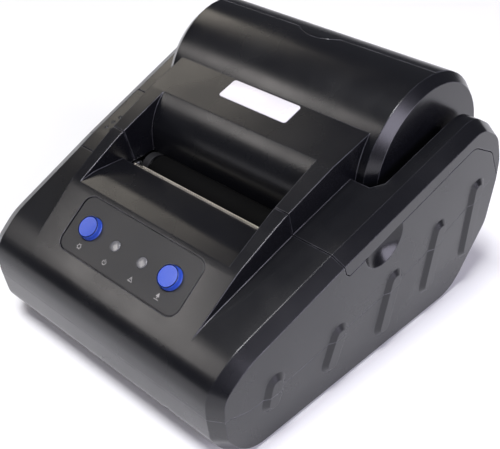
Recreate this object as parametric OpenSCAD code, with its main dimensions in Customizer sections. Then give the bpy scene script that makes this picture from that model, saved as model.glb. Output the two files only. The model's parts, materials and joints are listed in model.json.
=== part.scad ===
// Desktop receipt printer for 58 mm paper.
// Working coordinates: x from the middle, y from the nose, z from the underside of the case.
// place() moves them to the part's origin, on the ground under the middle of the outline.

/* [Casing] */
// Overall depth, nose to hinge knuckles
case_d = 146.4; // [142:0.2:151]
// Width of the case at the nose
front_w = 113.2; // [110:0.2:117]
// Width of the case at its rear wall
rear_w = 138.2; // [134:0.2:142]
// Wall thickness of the shells
wall = 2.2; // [1.9:0.1:2.5]
// Width of the bevel along both side edges
edge_w = 4.8; // [4:0.1:5.6]
// Depth of that bevel
edge_in = 3; // [2.4:0.1:3.6]
// Height of the crease over the nose
nose_h = 34.5; // [33:0.1:36]
// Slope of the key panel, in degrees
panel_slope = 35.6; // [34:0.1:37]
// Height of the shoulders where the lid begins
shoulder_h = 56.3; // [55:0.1:57.5]
// Height of the fins at their rear
fin_h = 75.8; // [74:0.1:78]
// Width of the fins beside the drum
fin_w = 10; // [9.5:0.1:11]
// Gap along the lid's seam
seam_gap = 0.35; // [0.3:0.05:0.5]

/* [Mouth and ridges] */
// Half width of the paper mouth
mouth_half = 35.5; // [34.5:0.1:36.5]
// Half width of the two ridges at the nose
ridge_half = 37.6; // [36.8:0.1:38.4]
// Distance of the lip behind the tear bar from the nose
lip_y = 49.2; // [48.7:0.1:49.7]
// Distance of the lid's convex front from the nose
apron_y = 64.2; // [63.6:0.1:65]
// Height of the ridges' crease at the band
crease_h = 73.2; // [72:0.1:74.5]

/* [Drum] */
// Radius of the drum
drum_r = 31.2; // [30.8:0.1:31.6]
// Height of the drum's middle
drum_z = 59.3; // [58.8:0.1:59.8]
// Distance of the drum's ends from the sides of the case
drum_in = 14.2; // [13.9:0.1:15]
// Width of the bevel round the drum's ends
drum_edge_w = 3.4; // [2.8:0.1:4]
// Depth of that bevel
drum_edge_in = 3; // [2.4:0.1:3.4]
// Depth of the valleys beside the drum
valley_in = 9; // [7:0.2:10]

/* [Key panel] */
// Width of the control plate
plate_w = 57; // [54:0.5:60]
// Depth of the control plate along the slope
plate_l = 20.8; // [20:0.2:22]
// Distance of the plate's middle from the nose, along the slope
plate_s = 23.5; // [23:0.1:24]
// Thickness of the control plate
plate_t = 0.9; // [0.7:0.1:1]
// Half distance between the two keys
key_x = 19.3; // [18.5:0.1:20]
// Radius of a key's cap
key_r = 4; // [3.7:0.1:4.5]
// Half distance between the two light windows
light_x = 6.5; // [5.5:0.1:7]
// Radius of a light window
light_r = 2; // [1.6:0.1:2.2]
// Travel of a key
key_travel = 0.6; // [0.4:0.1:0.8]

/* [Platen and head] */
// Length of the platen's rubber sleeve
platen_l = 58; // [56:0.5:58.5]
// Radius of the rubber sleeve
platen_r = 5.75; // [5.5:0.05:5.9]
// Radius of the platen shaft
shaft_r = 2.5; // [2.2:0.1:2.7]
// Height of the platen shaft
platen_h = 47; // [46.5:0.1:47.3]
// Length of the tear bar
bar_l = 60; // [57:1:64]
// Thickness of the print head's strip
head_t = 1.5; // [1:0.1:1.8]
// Radius of small pins and axles
pin_r = 1.5; // [1.3:0.05:1.6]
// Radial clearance of a running fit
run_fit = 0.04; // [0.02:0.01:0.08]

/* [Gears] */
// Teeth on the platen gear
platen_teeth = 22; // [22]
// Teeth on the small wheel of the reduction gear
small_teeth = 16; // [16]
// Teeth on the large wheel of the reduction gear
large_teeth = 50; // [50]
// Teeth on the motor pinion
pinion_teeth = 16; // [16]
// Module of the platen pair
platen_module = 0.5; // [0.5]
// Module of the motor pair
motor_module = 0.4; // [0.4]
// Direction of the motor from the reduction gear, in degrees
motor_angle = -60; // [-62:0.5:-58]
// Radius of the motor's can
motor_r = 10; // [9:0.5:10]

/* [Mechanism frame] */
// Distance between the frame's side plates
frame_in = 70; // [69.6:0.2:70.4]
// Thickness of the frame's sheet
sheet = 1.5; // [1.2:0.1:1.6]
// Height of the frame's base plate
frame_h = 14; // [13:0.1:14.2]

/* [Paper cradle] */
// Inner radius of the cradle, for a 50 mm roll
cradle_r = 27; // [26:0.5:27.5]
// Inner width of the cradle
cradle_w = 60; // [59:0.5:62]
// Wall of the cradle
cradle_wall = 1.5; // [1.2:0.1:1.8]

/* [Release and hinge] */
// Radius of the hinge knuckles
knuckle_r = 2.4; // [2.2:0.1:2.5]
// Radius of the hinge pins
hinge_pin_r = 1.2; // [1:0.1:1.3]

/* [Boards and ports] */
// Thickness of the boards
board_t = 1.6; // [1.2:0.1:1.8]
// Height of the main board
board_h = 25.2; // [24.5:0.1:26]
// Height of the ports' openings
port_h = 12; // [11:0.2:12.4]

/* [Feet] */
// Height of the case over the ground
foot_h = 1.2; // [1:0.1:2]
// Radius of a rubber foot
foot_r = 5; // [4:0.5:6]

/* [Hidden] */
far = 200;
fine = 48;
touch = 0.02;
black = "#26272b";
board_green = "#2f6b45";

// Side lines
rear_y = case_d - 2.5;
drum_y = case_d - drum_r;
flare = (rear_w - front_w) / 2 / rear_y;
side_half = front_w / 2;
drum_half = side_half - drum_in;
shoulder_y = 12;
lid_y = 54.1;
fin_y = rear_y - 19;
hinge_y = case_d - knuckle_r;
hinge_z = 46.6;
rear_seam_z = hinge_z + 0.6;
lid_rear_z = rear_seam_z + seam_gap - 0.05;
crease_y = 72;
band_slope = 14.1;
ridge_flare = 0.0655;
strip_h = 48.2;
valley_y = 81.5;
valley_cut = 3;
inner_lid_z = 51.2;
mouth_floor_z = platen_h + 4.5;
lip_z = platen_h + 8;
slot_z = 20;
ridge_mid_y = 48.7;
ridge_mid_z = 64.9;
mouth_start_y = 29;
drum_seam_y = case_d - 27;
tab_y = drum_seam_y + 7.5;
tab_r = 12.1;

// Platen, head and gear train
platen_y = apron_y - 3.7;
platen_pitch = platen_module * platen_teeth / 2;
small_pitch = platen_module * small_teeth / 2;
large_pitch = motor_module * large_teeth / 2;
pinion_pitch = motor_module * pinion_teeth / 2;
axle_y = platen_y;
axle_z = platen_h - platen_pitch - small_pitch;
motor_y = axle_y + (large_pitch + pinion_pitch) * cos(motor_angle);
motor_z = axle_z + (large_pitch + pinion_pitch) * sin(motor_angle);
head_gap = 0.35;
head_face_y = platen_y - platen_r - head_gap;
sink_t = 2.4;
sink_y = head_face_y - head_t - sink_t;
head_pin_y = sink_y + sheet / 2;
head_pin_z = platen_h - 17;
gear_x = frame_in / 2 + sheet + 2;
gear_w = 3.5;
wheel_x = gear_x + gear_w + 0.4;
wheel_w = 2.6;
bush_x = 30.3;
bush_w = 3;
bush_r = 4.5;
frame_y0 = 42;
frame_y1 = 80.5;
frame_top = platen_h + 3;
hook_x = 42.1;
hook_w = 2.2;
tail_x = 46.5;
tail_w = 2.6;
key_side = 3.2;
latch_y = platen_y + 5.5;
latch_z = platen_h - 17;
tail_y = latch_y + 10;
tail_z = latch_z + 13.5;
latch_play = 0.5;

// Cradle and boards
cradle_y = rear_y - 33.9;
cradle_z = 60;
cradle_out = cradle_r + cradle_wall;
shelf_z = 44;
port_z = board_h + board_t;
port_y = rear_y - 13.4;
port_face_y = rear_y - 2.1;
head_seat = 1.6;
foot_spots = [[44, 26], [52, rear_y - 39.9]];
screw_spots = [[49, 17, 20.2], [61.6, rear_y - 31.9, 36.5]];
board_y0 = rear_y - 49.9;
board_spots = [[46, board_y0 + 4.5], [46, board_y0 + 33]];
mech_spots = [[30, 47.5], [30, 75.5]];
ear_r = 12;
ear_end = 2.5;
ear_turn = 40;
shelf_spots = [[36, cradle_y - 20], [55, cradle_y + 12]];
spring_x = 20;
spring_z = platen_h - 3;
release_spot = [53.4, 66];
release_y0 = 46.4;
release_y1 = 78.8;
coil_r = 2.7;
pad_r = 5;
pad_top_r = 2.3;
pad_h = 1.3;
pad_sink = 0.3;
scoop = [74, 52];
scoop_r = 12.8;
scoop_in = 4.2;
scoop_back = 3.5;
panel_gap = 0.3;
key_s = plate_s + 0.3;
light_s = plate_s - 0.4;
key_hole_r = key_r + 0.5;
key_flange_r = key_r + 0.2;
key_board_in = 8.4;
key_screw_x = 27;
switch_top = -4.6;
stem_end = switch_top + key_travel + 0.2;
badge_w = 31;
badge_l = 9.6;
badge_y = 84.8;
badge_in = 0.4;
bar_t = 0.8;
tooth_w = 1;
tooth_h = 0.6;

// Hinge at the rear: each side has two case knuckles with a lid knuckle between
hinge_x0 = 30;
hinge_l = 20;
knuckle_l = 5.6;
joint_gap = 0.4;
lid_knuckle_x0 = hinge_x0 + knuckle_l + joint_gap;
lid_knuckle_x1 = hinge_x0 + hinge_l - knuckle_l - joint_gap;

// Middles of the ports and the power switch
inlet_x = 44;
usb_x = 22;
switch_x = -36;
switch_y = rear_y - 3;

// Outlines: corners are [y, z, radius], counter-clockwise, a radius of 0 is a sharp corner
function unit(v) = v / norm(v);
function turn(a, b) = a[0] * b[1] - a[1] * b[0];
function spot(c) = [c[0], c[1]];
function bend(P, i) = let (n = len(P), u = unit(spot(P[i]) - spot(P[(i + n - 1) % n])),
        v = unit(spot(P[(i + 1) % n]) - spot(P[i])))
    atan2(turn(u, v), u * v);
function steps(P) = [for (i = [0 : len(P) - 1]) P[i][2] == 0 ? 0 : max(2, ceil(abs(bend(P, i)) / 9))];
function rounded(P, i, n) =
    let (c = spot(P[i]), r = P[i][2], k = len(P),
        a = unit(spot(P[(i + k - 1) % k]) - c), b = unit(spot(P[(i + 1) % k]) - c),
        half = (180 - abs(bend(P, i))) / 2,
        m = c + unit(a + b) * r / sin(half),
        s = c + a * r / tan(half) - m, a0 = atan2(s[1], s[0]), sweep = bend(P, i))
    [for (j = [0 : n]) m + r * [cos(a0 + sweep * j / n), sin(a0 + sweep * j / n)]];
function outline(P, N = []) = let (T = len(N) > 0 ? N : steps(P))
    [for (i = [0 : len(P) - 1]) each T[i] == 0 ? [spot(P[i])] : rounded(P, i, T[i])];
function inset(P, d) = let (n = len(P))
    [for (i = [0 : n - 1])
        let (c = spot(P[i]), u = unit(c - spot(P[(i + n - 1) % n])),
            v = unit(spot(P[(i + 1) % n]) - c), nu = [-u[1], u[0]], nv = [-v[1], v[0]],
            w = c + d * (nu + nv) / (1 + nu * nv), r = P[i][2])
        [w[0], w[1], r == 0 ? 0 : max(r - d * sign(turn(u, v)), 0.3)]];
function panel_z(y) = nose_h + tan(panel_slope) * y;
function band_z(y) = crease_h + tan(band_slope) * (y - crease_y);
function rear_line(z) = rear_y - 1.9 * (44 - z) / 20;
function side_x(y) = side_half + flare * y;
function shoulder_z(y) = shoulder_h + (fin_h - shoulder_h) / (fin_y - lid_y) * (y - lid_y);
function rect(x, y, r) = [[-x, -y, r], [x, -y, r], [x, y, r], [-x, y, r]];

// Side view of the case without ridges and drum
function case_line() = [[8, 0, 10], [rear_y - 18, 0, 9], [rear_line(24), 24, 12],
    [rear_line(44), 44, 0], [rear_y - 0.6, 54, 20], [rear_y - 5.8, 67, 14], [fin_y, fin_h, 12],
    [lid_y, shoulder_h, 60], [shoulder_y, panel_z(shoulder_y), 25], [0, nose_h, 12],
    [0, 24, 0], [1.2, 12.2, 10]];
// Ridges and band
function ridge_line() = [[8, 33, 0], [lid_y, shoulder_h - 6.3, 0], [104, shoulder_z(104) - 12, 0],
    [104, band_z(104), 0],
    [crease_y, crease_h, 10], [ridge_mid_y, ridge_mid_z, 50],
    [mouth_start_y, panel_z(mouth_start_y), 25], [8, panel_z(8), 0]];
// Side faces of the case: the bevel runs out along the underside
function face_line() = [for (q = inset(case_line(), edge_in))
    q[1] < edge_in + 0.1 ? [q[0] + (q[0] < 60 ? 2.5 : -2), 0, 14] : q];
// Drum-shaped roll cover
function drum_line(r) = [for (i = [0 : 47])
    [drum_y + r * cos(7.5 * i - 3.75), drum_z + r * sin(7.5 * i - 3.75), 0]];
// Space of the paper mouth
function mouth_line() = [[mouth_start_y, panel_z(mouth_start_y), 0],
    [mouth_start_y + 7, lip_z + 1.2, 14], [lip_y, lip_z, 0], [lip_y, slot_z, 0],
    [apron_y, slot_z, 0], [apron_y, crease_h - 6.7, 20], [crease_y, crease_h, 0],
    [crease_y, far, 0], [10, far, 0]];
// Everything below the seam between the lower and the upper case
function seam_line() = [[-20, -20, 0], [far, -20, 0], [far, rear_seam_z, 0],
    [rear_y - 4, rear_seam_z, 0], [rear_y - 17.9, 41.4, 15], [rear_y - 39.9, 33, 40],
    [78, 27, 60], [52, 23.4, 50], [26, 20.2, 20], [13, 20.2, 6], [5, 23.2, 3],
    [-20, 23.2, 0]];
// Everything that opens with the lid
function lid_line() = [[19, far, 0], [lid_y + 0.2, shoulder_h - 3.2, 0],
    [lid_y + 1.2, strip_h + 1.8, 0], [lid_y + 2.9, strip_h, 1.2], [rear_y - 22.9, 66.9, 6],
    [rear_y - 10.1, 59.4, 8], [rear_y - 4, lid_rear_z, 0], [far, lid_rear_z, 0],
    [far, far, 0]];

module lid_space(grow) {
    line_x(inset(lid_line(), -grow), far);
    intersection() {
        plan(side_half - fin_w + wall + grow, flare);
        box(-far, far, valley_y - wall - grow, case_d, inner_lid_z - grow, far);
    }
}

module place() translate([0, -case_d / 2, foot_h]) children();
module both() {
    children();
    mirror([1, 0, 0]) children();
}
// A side outline drawn out along x
module along_x(x0, x1) translate([x0, 0, 0]) rotate([90, 0, 90]) linear_extrude(x1 - x0) children();
module line_x(P, half) along_x(-half, half) polygon(outline(P));
module rod(x0, x1, y, z, r) translate([x0, y, z]) rotate([0, 90, 0])
    cylinder(h = x1 - x0, r = r, $fn = fine);
module ring(x0, x1, y, z, r, bore) difference() {
    rod(x0, x1, y, z, r);
    rod(x0 - 1, x1 + 1, y, z, bore);
}
module post(x, y, z0, z1, r) translate([x, y, z0]) cylinder(h = z1 - z0, r = r, $fn = fine);
module box(x0, x1, y0, y1, z0, z1) translate([x0, y0, z0])
    cube([x1 - x0, y1 - y0, z1 - z0]);
// Key panel coordinates: x, distance up the slope, height over the slope
module on_panel() translate([0, 0, nose_h]) rotate([panel_slope, 0, 0]) children();
module panel_disc(x, s, z0, z1, r) translate([x, s, z0])
    cylinder(h = z1 - z0, r = r, $fn = fine);

// Solid with the outline P, bevelled to the outline Q at both ends, and wider towards the rear
module edged_prism(P, Q, half, widen, bevel) {
    A = outline(P);
    B = outline(Q, steps(P));
    n = len(A);
    points = concat([for (q = B) [-half - widen * q[0], q[0], q[1]]],
        [for (q = A) [bevel - half - widen * q[0], q[0], q[1]]],
        [for (q = A) [half - bevel + widen * q[0], q[0], q[1]]],
        [for (q = B) [half + widen * q[0], q[0], q[1]]]);
    bands = [for (r = [0 : 2], i = [0 : n - 1])
        let (a = r * n + i, b = r * n + (i + 1) % n) [a, a + n, b + n, b]];
    ends = [[for (i = [0 : n - 1]) i], [for (i = [n - 1 : -1 : 0]) 3 * n + i]];
    polyhedron(points, concat(bands, ends));
}

// Everything within half + widen * y of the middle
module plan(half, widen) linear_extrude(far, center = true)
    polygon([[-half, 0], [-half - widen * far, far], [half + widen * far, far], [half, 0],
        [half - widen * 20, -20], [widen * 20 - half, -20]]);
module flared(P, half, widen) intersection() {
    line_x(P, far);
    plan(half, widen);
}

module case_solid() edged_prism(case_line(), face_line(), side_half, flare, edge_w);
module case_hollow() {
    flared(inset(case_line(), wall), side_half - edge_w, flare);
    flared(inset(case_line(), wall + edge_in), side_half - wall, flare);
}
module ridge_solid() flared(ridge_line(), ridge_half, ridge_flare);
module ridge_hollow() flared(inset(ridge_line(), wall), ridge_half - wall, ridge_flare);
module drum_solid()
    edged_prism(drum_line(drum_r), drum_line(drum_r - drum_edge_in), drum_half, flare, drum_edge_w);
module drum_hollow() {
    flared(drum_line(drum_r - wall), drum_half - drum_edge_w, flare);
    flared(drum_line(drum_r - wall - drum_edge_in), drum_half - wall, flare);
}
module mouth(grow) line_x(inset(mouth_line(), -grow), mouth_half + grow);
// Walls that the mouth keeps round itself
module mouth_walls() intersection() {
    mouth(wall);
    box(-far, far, 0, far, mouth_floor_z, far);
}
// Valleys round the drum's ends, beside the fins
module valley(grow) intersection() {
    line_x(inset([[60, shoulder_z(60) - valley_in, 0], [fin_y, fin_h - valley_in, 8],
        [fin_y + 40, fin_h - valley_in - 27, 0], [fin_y + 40, far, 0], [60, far, 0]], -grow), far);
    linear_extrude(far)
        polygon(concat(valley_side(1, grow), [for (i = [2 : -1 : 0]) valley_side(-1, grow)[i]]));
}
function valley_side(s, grow) = let (x = side_x(valley_y) - fin_w + grow, y = valley_y - grow)
    [[s * (x - valley_cut), y], [s * (x + flare * 4), y + 4], [s * (x + flare * far), y + far]];
// Raised pads on the sides: foot and head of each, as [y, z]
function pads() = [[[22.8, 17.1], [24.2, 23.7]], [[50.6, 13.6], [54.1, 24.3]],
    [[78.5, 11.4], [82.3, 30.8]], [[103.8, 15.8], [106.5, 39.1]],
    [[rear_y - 16.3, 19.2], [rear_y - 15.9, 46.2]]];
// Coordinates of the side faces: depth from the nose, height, distance outwards
module on_side() for (s = [0, 1]) mirror([s, 0, 0]) translate([side_half, 0, 0])
    rotate([0, 0, -atan(flare)]) rotate([90, 0, 90]) children();
function capsule(a, b, r) = let (t = atan2(b[1] - a[1], b[0] - a[0]))
    [for (q = [[b, t - 90], [a, t + 90]], i = [0 : 8]) q[0] + r * [cos(q[1] + 22.5 * i), sin(q[1] + 22.5 * i)]];
// Solid from the outline A at the height z0 to the outline B at z1
module taper(A, B, z0, z1) {
    n = len(A);
    points = concat([for (q = A) [q[0], q[1], z0]], [for (q = B) [q[0], q[1], z1]]);
    sides = [for (i = [0 : n - 1]) [i, i + n, (i + 1) % n + n, (i + 1) % n]];
    polyhedron(points, concat(sides, [[for (i = [0 : n - 1]) i], [for (i = [n - 1 : -1 : 0]) n + i]]));
}
module side_pads() on_side() for (p = pads())
    taper(capsule(p[0], p[1], pad_r), capsule(p[0], p[1], pad_top_r), -pad_sink, pad_h);
// Finger scoop under the lid's side strip, and the thicker wall behind it
module scoop_cut() on_side() translate([scoop[0], scoop[1], scoop_r - scoop_in]) sphere(scoop_r, $fn = 96);
module scoop_wall() on_side() translate([scoop[0], scoop[1], -wall - scoop_back])
    cylinder(h = scoop_back + touch, r = 10.5, $fn = fine);

// Opening of the release button in the left shoulder
module release_space(shrink, deep) intersection() {
    along_x(-far, 0) polygon([[release_y0 + shrink, far],
        [release_y0 + shrink, shoulder_z(release_y0) - deep],
        [release_y1 - shrink, shoulder_z(release_y1) - deep], [release_y1 - shrink, far]]);
    difference() {
        plan(side_half - edge_w - shrink, flare);
        plan(ridge_half + key_side + shrink, ridge_flare);
    }
}

// Drum panel: plan outline behind the seam, with the half-moon tab
function panel_corner(side, y, grow) = [side * (drum_half - drum_edge_w - 0.4 + grow + flare * y), y];
module panel_plan(grow) translate([0, 0, drum_z + 1 - grow]) linear_extrude(far) {
    front = drum_seam_y - grow;
    r = tab_r + grow;
    a0 = asin((tab_y - front) / r);
    polygon([panel_corner(-1, case_d + 1, grow), panel_corner(-1, front, grow),
        for (i = [0 : 16]) let (a = 180 + a0 + i * (180 - 2 * a0) / 16) [0, tab_y] + r * [cos(a), sin(a)],
        panel_corner(1, front, grow), panel_corner(1, case_d + 1, grow)]);
}

// Knuckles of the case and of the lid, or the room for them
module case_knuckles(grow) both() for (x = [hinge_x0, hinge_x0 + hinge_l - knuckle_l])
    rod(x - grow, x + knuckle_l + grow, hinge_y, hinge_z, knuckle_r + grow);
module lid_knuckles(grow) both()
    rod(lid_knuckle_x0 - grow, lid_knuckle_x1 + grow, hinge_y, hinge_z, knuckle_r + grow);
module hinge_bores() both()
    rod(hinge_x0 - 1, hinge_x0 + hinge_l + 1, hinge_y, hinge_z, hinge_pin_r + run_fit);

module lower_case() color(black) difference() {
    union() {
        difference() {
            intersection() {
                union() {
                    case_solid();
                    side_pads();
                }
                line_x(seam_line(), far);
            }
            case_hollow();
            lid_knuckles(joint_gap);
        }
        for (s = [-1, 1]) {
            for (p = screw_spots) intersection() {
                post(s * p[0], p[1], wall - touch, 50, 4.2);
                line_x(seam_line(), far);
            }
            for (p = board_spots) post(s * p[0], p[1], wall - touch, board_h, 2.6);
            for (p = mech_spots) post(s * p[0], p[1], wall - touch, frame_h, 3);
            for (p = shelf_spots) post(s * p[0], p[1], wall - touch, shelf_z, 3);
        }
        post(-release_spot[0], release_spot[1], wall - touch, shelf_z, coil_r);
        case_knuckles(0);
        both() for (x = [hinge_x0, hinge_x0 + hinge_l - knuckle_l])
            box(x, x + knuckle_l, rear_y - wall, hinge_y, hinge_z - knuckle_r - 0.6, hinge_z);
    }
    hinge_bores();
    for (s = [-1, 1]) {
        for (p = screw_spots) {
            post(s * p[0], p[1], -1, far, pin_r + touch);
            post(s * p[0], p[1], -1, head_seat, 3.1);
        }
        for (p = foot_spots) post(s * p[0], p[1], -1, 1, foot_r + touch);
        for (p = board_spots) post(s * p[0], p[1], board_h - 8, far, 1 + touch);
        for (p = mech_spots) post(s * p[0], p[1], frame_h - 8, far, pin_r + touch);
    }
    port_cut(inlet_x, 5.2);
    port_cut(usb_x, 6.5);
    port_cut(0, 7);
    box(switch_x - 9.6, switch_x + 9.6, rear_y - 8, far, port_z + 0.1, port_z + port_h + 1.3);
}
module port_cut(x, half) box(x - half, x + half, rear_y - 8, far, port_z - 0.3, port_z + port_h);

module upper_case() color(black) difference() {
    union() {
        difference() {
            union() {
                case_solid();
                ridge_solid();
                side_pads();
            }
            difference() {
                union() {
                    case_hollow();
                    ridge_hollow();
                }
                mouth_walls();
            }
        }
        scoop_wall();
        intersection() {
            on_panel() for (s = [-1, 1]) panel_disc(s * key_screw_x, key_s, -key_board_in, -1, 2.2);
            box(-far, far, 0, 60, 0, far);
        }
        for (s = [-1, 1], p = screw_spots) post(s * p[0], p[1], p[2] - 5, p[2] + 21.5, 3.4);
    }
    line_x(seam_line(), far);
    lid_space(seam_gap);
    mouth(0);
    scoop_cut();
    release_space(-0.4, 8);
    for (s = [-1, 1], p = screw_spots) post(s * p[0], p[1], 0, p[2] + 12, pin_r + touch);
    on_panel() {
        translate([0, plate_s, -1]) linear_extrude(10)
            polygon(outline(inset(rect(plate_w / 2, plate_l / 2, 4), -0.25)));
        for (s = [-1, 1]) {
            panel_disc(s * key_x, key_s, -5, 5, key_hole_r);
            panel_disc(s * light_x, light_s, -5, 5, light_r + touch);
            panel_disc(s * key_screw_x, key_s, -9, -3.4, 1 + touch);
        }
    }
}

module lid_shell() color(black) difference() {
    union() {
        difference() {
            intersection() {
                union() {
                    difference() {
                        case_solid();
                        valley(0);
                    }
                    ridge_solid();
                    drum_solid();
                }
                lid_space(0);
            }
            difference() {
                union() {
                    difference() {
                        case_hollow();
                        valley(wall);
                    }
                    ridge_hollow();
                    drum_hollow();
                    intersection() {
                        plan(ridge_half - wall, ridge_flare);
                        box(-far, far, valley_y - 10, valley_y + 20, 40, shoulder_z(valley_y));
                    }
                }
                mouth_walls();
            }
            case_knuckles(joint_gap);
        }
        lid_knuckles(0);
        both() box(lid_knuckle_x0, lid_knuckle_x1, hinge_y - 0.6, hinge_y + 1.4, hinge_z,
            hinge_z + knuckle_r + 1);
    }
    mouth(0);
    rod(gear_x - 0.6, wheel_x, platen_y, platen_h, platen_pitch + 1.5);
    hinge_bores();
    release_space(-0.4, 8);
    panel_plan(panel_gap);
    on_band() translate([0, 0, -badge_in]) linear_extrude(5) polygon(badge_line(0.1));
}

// Blank label on the band
function badge_line(grow) = outline(inset(rect(badge_w / 2, badge_l / 2, 1.2), -grow));
module on_band() translate([0, badge_y, band_z(badge_y)]) rotate([band_slope, 0, 0]) children();
module label_badge() color("white") on_band() translate([0, 0, -badge_in]) linear_extrude(badge_in + 0.2)
    polygon(badge_line(0));

module drum_panel() color(black) intersection() {
    difference() {
        drum_solid();
        drum_hollow();
    }
    panel_plan(0);
}

// Platen carrier: web behind the lid's convex front, and two cheeks
module lid_frame() color("#5a5c60") difference() {
    web_y = apron_y + wall;
    web_top = crease_h - 16;
    union() {
        box(-bush_x - bush_w, bush_x + bush_w, web_y, web_y + 2, platen_h + 3.2, web_top);
        both() along_x(bush_x, bush_x + bush_w) {
            translate([platen_y, platen_h]) circle(bush_r + 1, $fn = fine);
            polygon([[platen_y, platen_h - bush_r - 1], [web_y + 2, platen_h - bush_r - 1],
                [web_y + 2, web_top], [web_y, web_top], [web_y, mouth_floor_z - 0.3],
                [platen_y, mouth_floor_z - 0.3]]);
        }
    }
    rod(-far, far, platen_y, platen_h, bush_r + touch);
}
module platen_bushings() color("#202020") both()
    ring(bush_x, bush_x + bush_w, platen_y, platen_h, bush_r, shaft_r + run_fit);
module platen_roller() color("#303030")
    ring(-platen_l / 2, platen_l / 2, platen_y, platen_h, platen_r, shaft_r + touch);
module platen_shaft() color("silver")
    rod(-hook_x - hook_w - 0.1, wheel_x - 0.4, platen_y, platen_h, shaft_r);

// Involute gear outline
function involute(a) = tan(a) * 180 / PI - a;
function flank(rp, teeth, r) = let (base = rp * cos(20))
    90 / teeth - 3.2 / rp + involute(20) - involute(acos(min(1, base / r)));
function gear_outline(m, teeth) = let (rp = m * teeth / 2, tip = rp + 0.8 * m, foot = rp - 1.15 * m,
        base = max(foot + 0.01, rp * cos(20)))
    [for (i = [0 : teeth - 1], q = [[-1, foot], [-1, base], [-1, (base + rp) / 2], [-1, rp], [-1, tip],
            [1, tip], [1, rp], [1, (base + rp) / 2], [1, base], [1, foot]])
        let (a = 360 * i / teeth + q[0] * flank(rp, teeth, max(q[1], base)))
        q[1] * [cos(a), sin(a)]];
module gear(x0, w, y, z, m, teeth, phase, bore) difference() {
    translate([x0, y, z]) rotate([90, 0, 90]) linear_extrude(w) rotate(phase)
        polygon(gear_outline(m, teeth));
    rod(x0 - 1, x0 + w + 1, y, z, bore);
}
module platen_gear() color("#d8d4c8")
    gear(gear_x, gear_w, platen_y, platen_h, platen_module, platen_teeth, -90, shaft_r + touch);
module reduction_gear() color("#d8d4c8") {
    gear(gear_x, gear_w + 0.4, axle_y, axle_z, platen_module, small_teeth, 90 + 180 / small_teeth,
        pin_r + run_fit);
    gear(wheel_x, wheel_w, axle_y, axle_z, motor_module, large_teeth, motor_angle,
        pin_r + run_fit);
}
module reduction_axle() color("silver") {
    rod(frame_in / 2, wheel_x + wheel_w + 1, axle_y, axle_z, pin_r);
    rod(frame_in / 2 + sheet, gear_x - 0.3, axle_y, axle_z, pin_r + 0.8);
}
module stepper_motor() color("#8b8d90") difference() {
    union() {
        rod(frame_in / 2 - 18, frame_in / 2, motor_y, motor_z, motor_r);
        translate([frame_in / 2 - 0.8, motor_y, motor_z]) rotate([90, 0, 90]) linear_extrude(0.8)
            for (a = [ear_turn, ear_turn + 180]) rotate(a) {
                translate([0, -ear_end]) square([ear_r, 2 * ear_end]);
                translate([ear_r, 0]) circle(ear_end, $fn = fine);
            }
    }
    rod(frame_in / 2 - 6, frame_in / 2 + 1, motor_y, motor_z, pin_r + run_fit);
    motor_holes(frame_in / 2 - 3, far, 1 + touch);
}
module motor_holes(x0, x1, r) for (a = [ear_turn, ear_turn + 180])
    rod(x0, x1, motor_y + ear_r * cos(a), motor_z + ear_r * sin(a), r);
module motor_screws() color("silver") {
    motor_holes(frame_in / 2 - 0.8, frame_in / 2 + sheet, 1);
    motor_holes(frame_in / 2 + sheet, frame_in / 2 + sheet + 1.2, 1.9);
}
module motor_pinion() color("#c9a24a") {
    gear(wheel_x, wheel_w + 0.4, motor_y, motor_z, motor_module, pinion_teeth,
        motor_angle + 180 + 180 / pinion_teeth, pin_r - 0.1);
    rod(frame_in / 2 - 5.5, wheel_x + wheel_w + 0.4, motor_y, motor_z, pin_r);
}

// Sheet frame that carries the head, the motor and the latch
module mechanism_frame() color("#b5b8bc") difference() {
    union() {
        both() along_x(frame_in / 2, frame_in / 2 + sheet)
            polygon([[frame_y0, frame_h], [frame_y1, frame_h], [frame_y1, 40],
                [platen_y + 8, frame_top], [frame_y0, frame_top]]);
        box(-frame_in / 2 - sheet, frame_in / 2 + sheet, frame_y0, frame_y1, frame_h, frame_h + sheet);
        box(-frame_in / 2 - sheet, frame_in / 2 + sheet, frame_y0, frame_y0 + sheet, frame_h, frame_top - 2);
        box(-frame_in / 2 - sheet, frame_in / 2 + sheet, frame_y1 - sheet, frame_y1, frame_h, 38);
    }
    box(-far, far, platen_y - shaft_r - 0.7, platen_y + shaft_r + 0.7, platen_h, far);
    rod(-far, far, platen_y, platen_h, shaft_r + 0.7);
    rod(-far, far, head_pin_y, head_pin_z, pin_r + touch);
    rod(0, far, axle_y, axle_z, pin_r + touch);
    rod(0, far, motor_y, motor_z, pin_r + 0.8);
    rod(-far, 0, latch_y, latch_z, pin_r + touch);
    motor_holes(0, far, 1 + touch);
    for (s = [-1, 1], p = mech_spots) post(s * p[0], p[1], frame_h - 1, frame_h + sheet + 1, pin_r + touch);
}
module frame_screws() color("silver") for (s = [-1, 1], p = mech_spots) {
    post(s * p[0], p[1], frame_h - 6, frame_h + sheet, pin_r);
    post(s * p[0], p[1], frame_h + sheet, frame_h + sheet + 1.4, 2.6);
}
module head_pin() color("silver")
    rod(-frame_in / 2 - sheet, frame_in / 2 + sheet, head_pin_y, head_pin_z, pin_r);
module heat_sink() color("#c4c7ca") difference() {
    union() {
        box(-33, 33, sink_y, sink_y + sink_t, head_pin_z - 2, mouth_floor_z - 0.2);
        rod(-33, 33, head_pin_y, head_pin_z, 3);
    }
    rod(-far, far, head_pin_y, head_pin_z, pin_r + run_fit);
}
module print_head() color("#e8e3d2")
    box(-31, 31, sink_y + sink_t, head_face_y, platen_h - 5.5, mouth_floor_z - 0.5);
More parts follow.
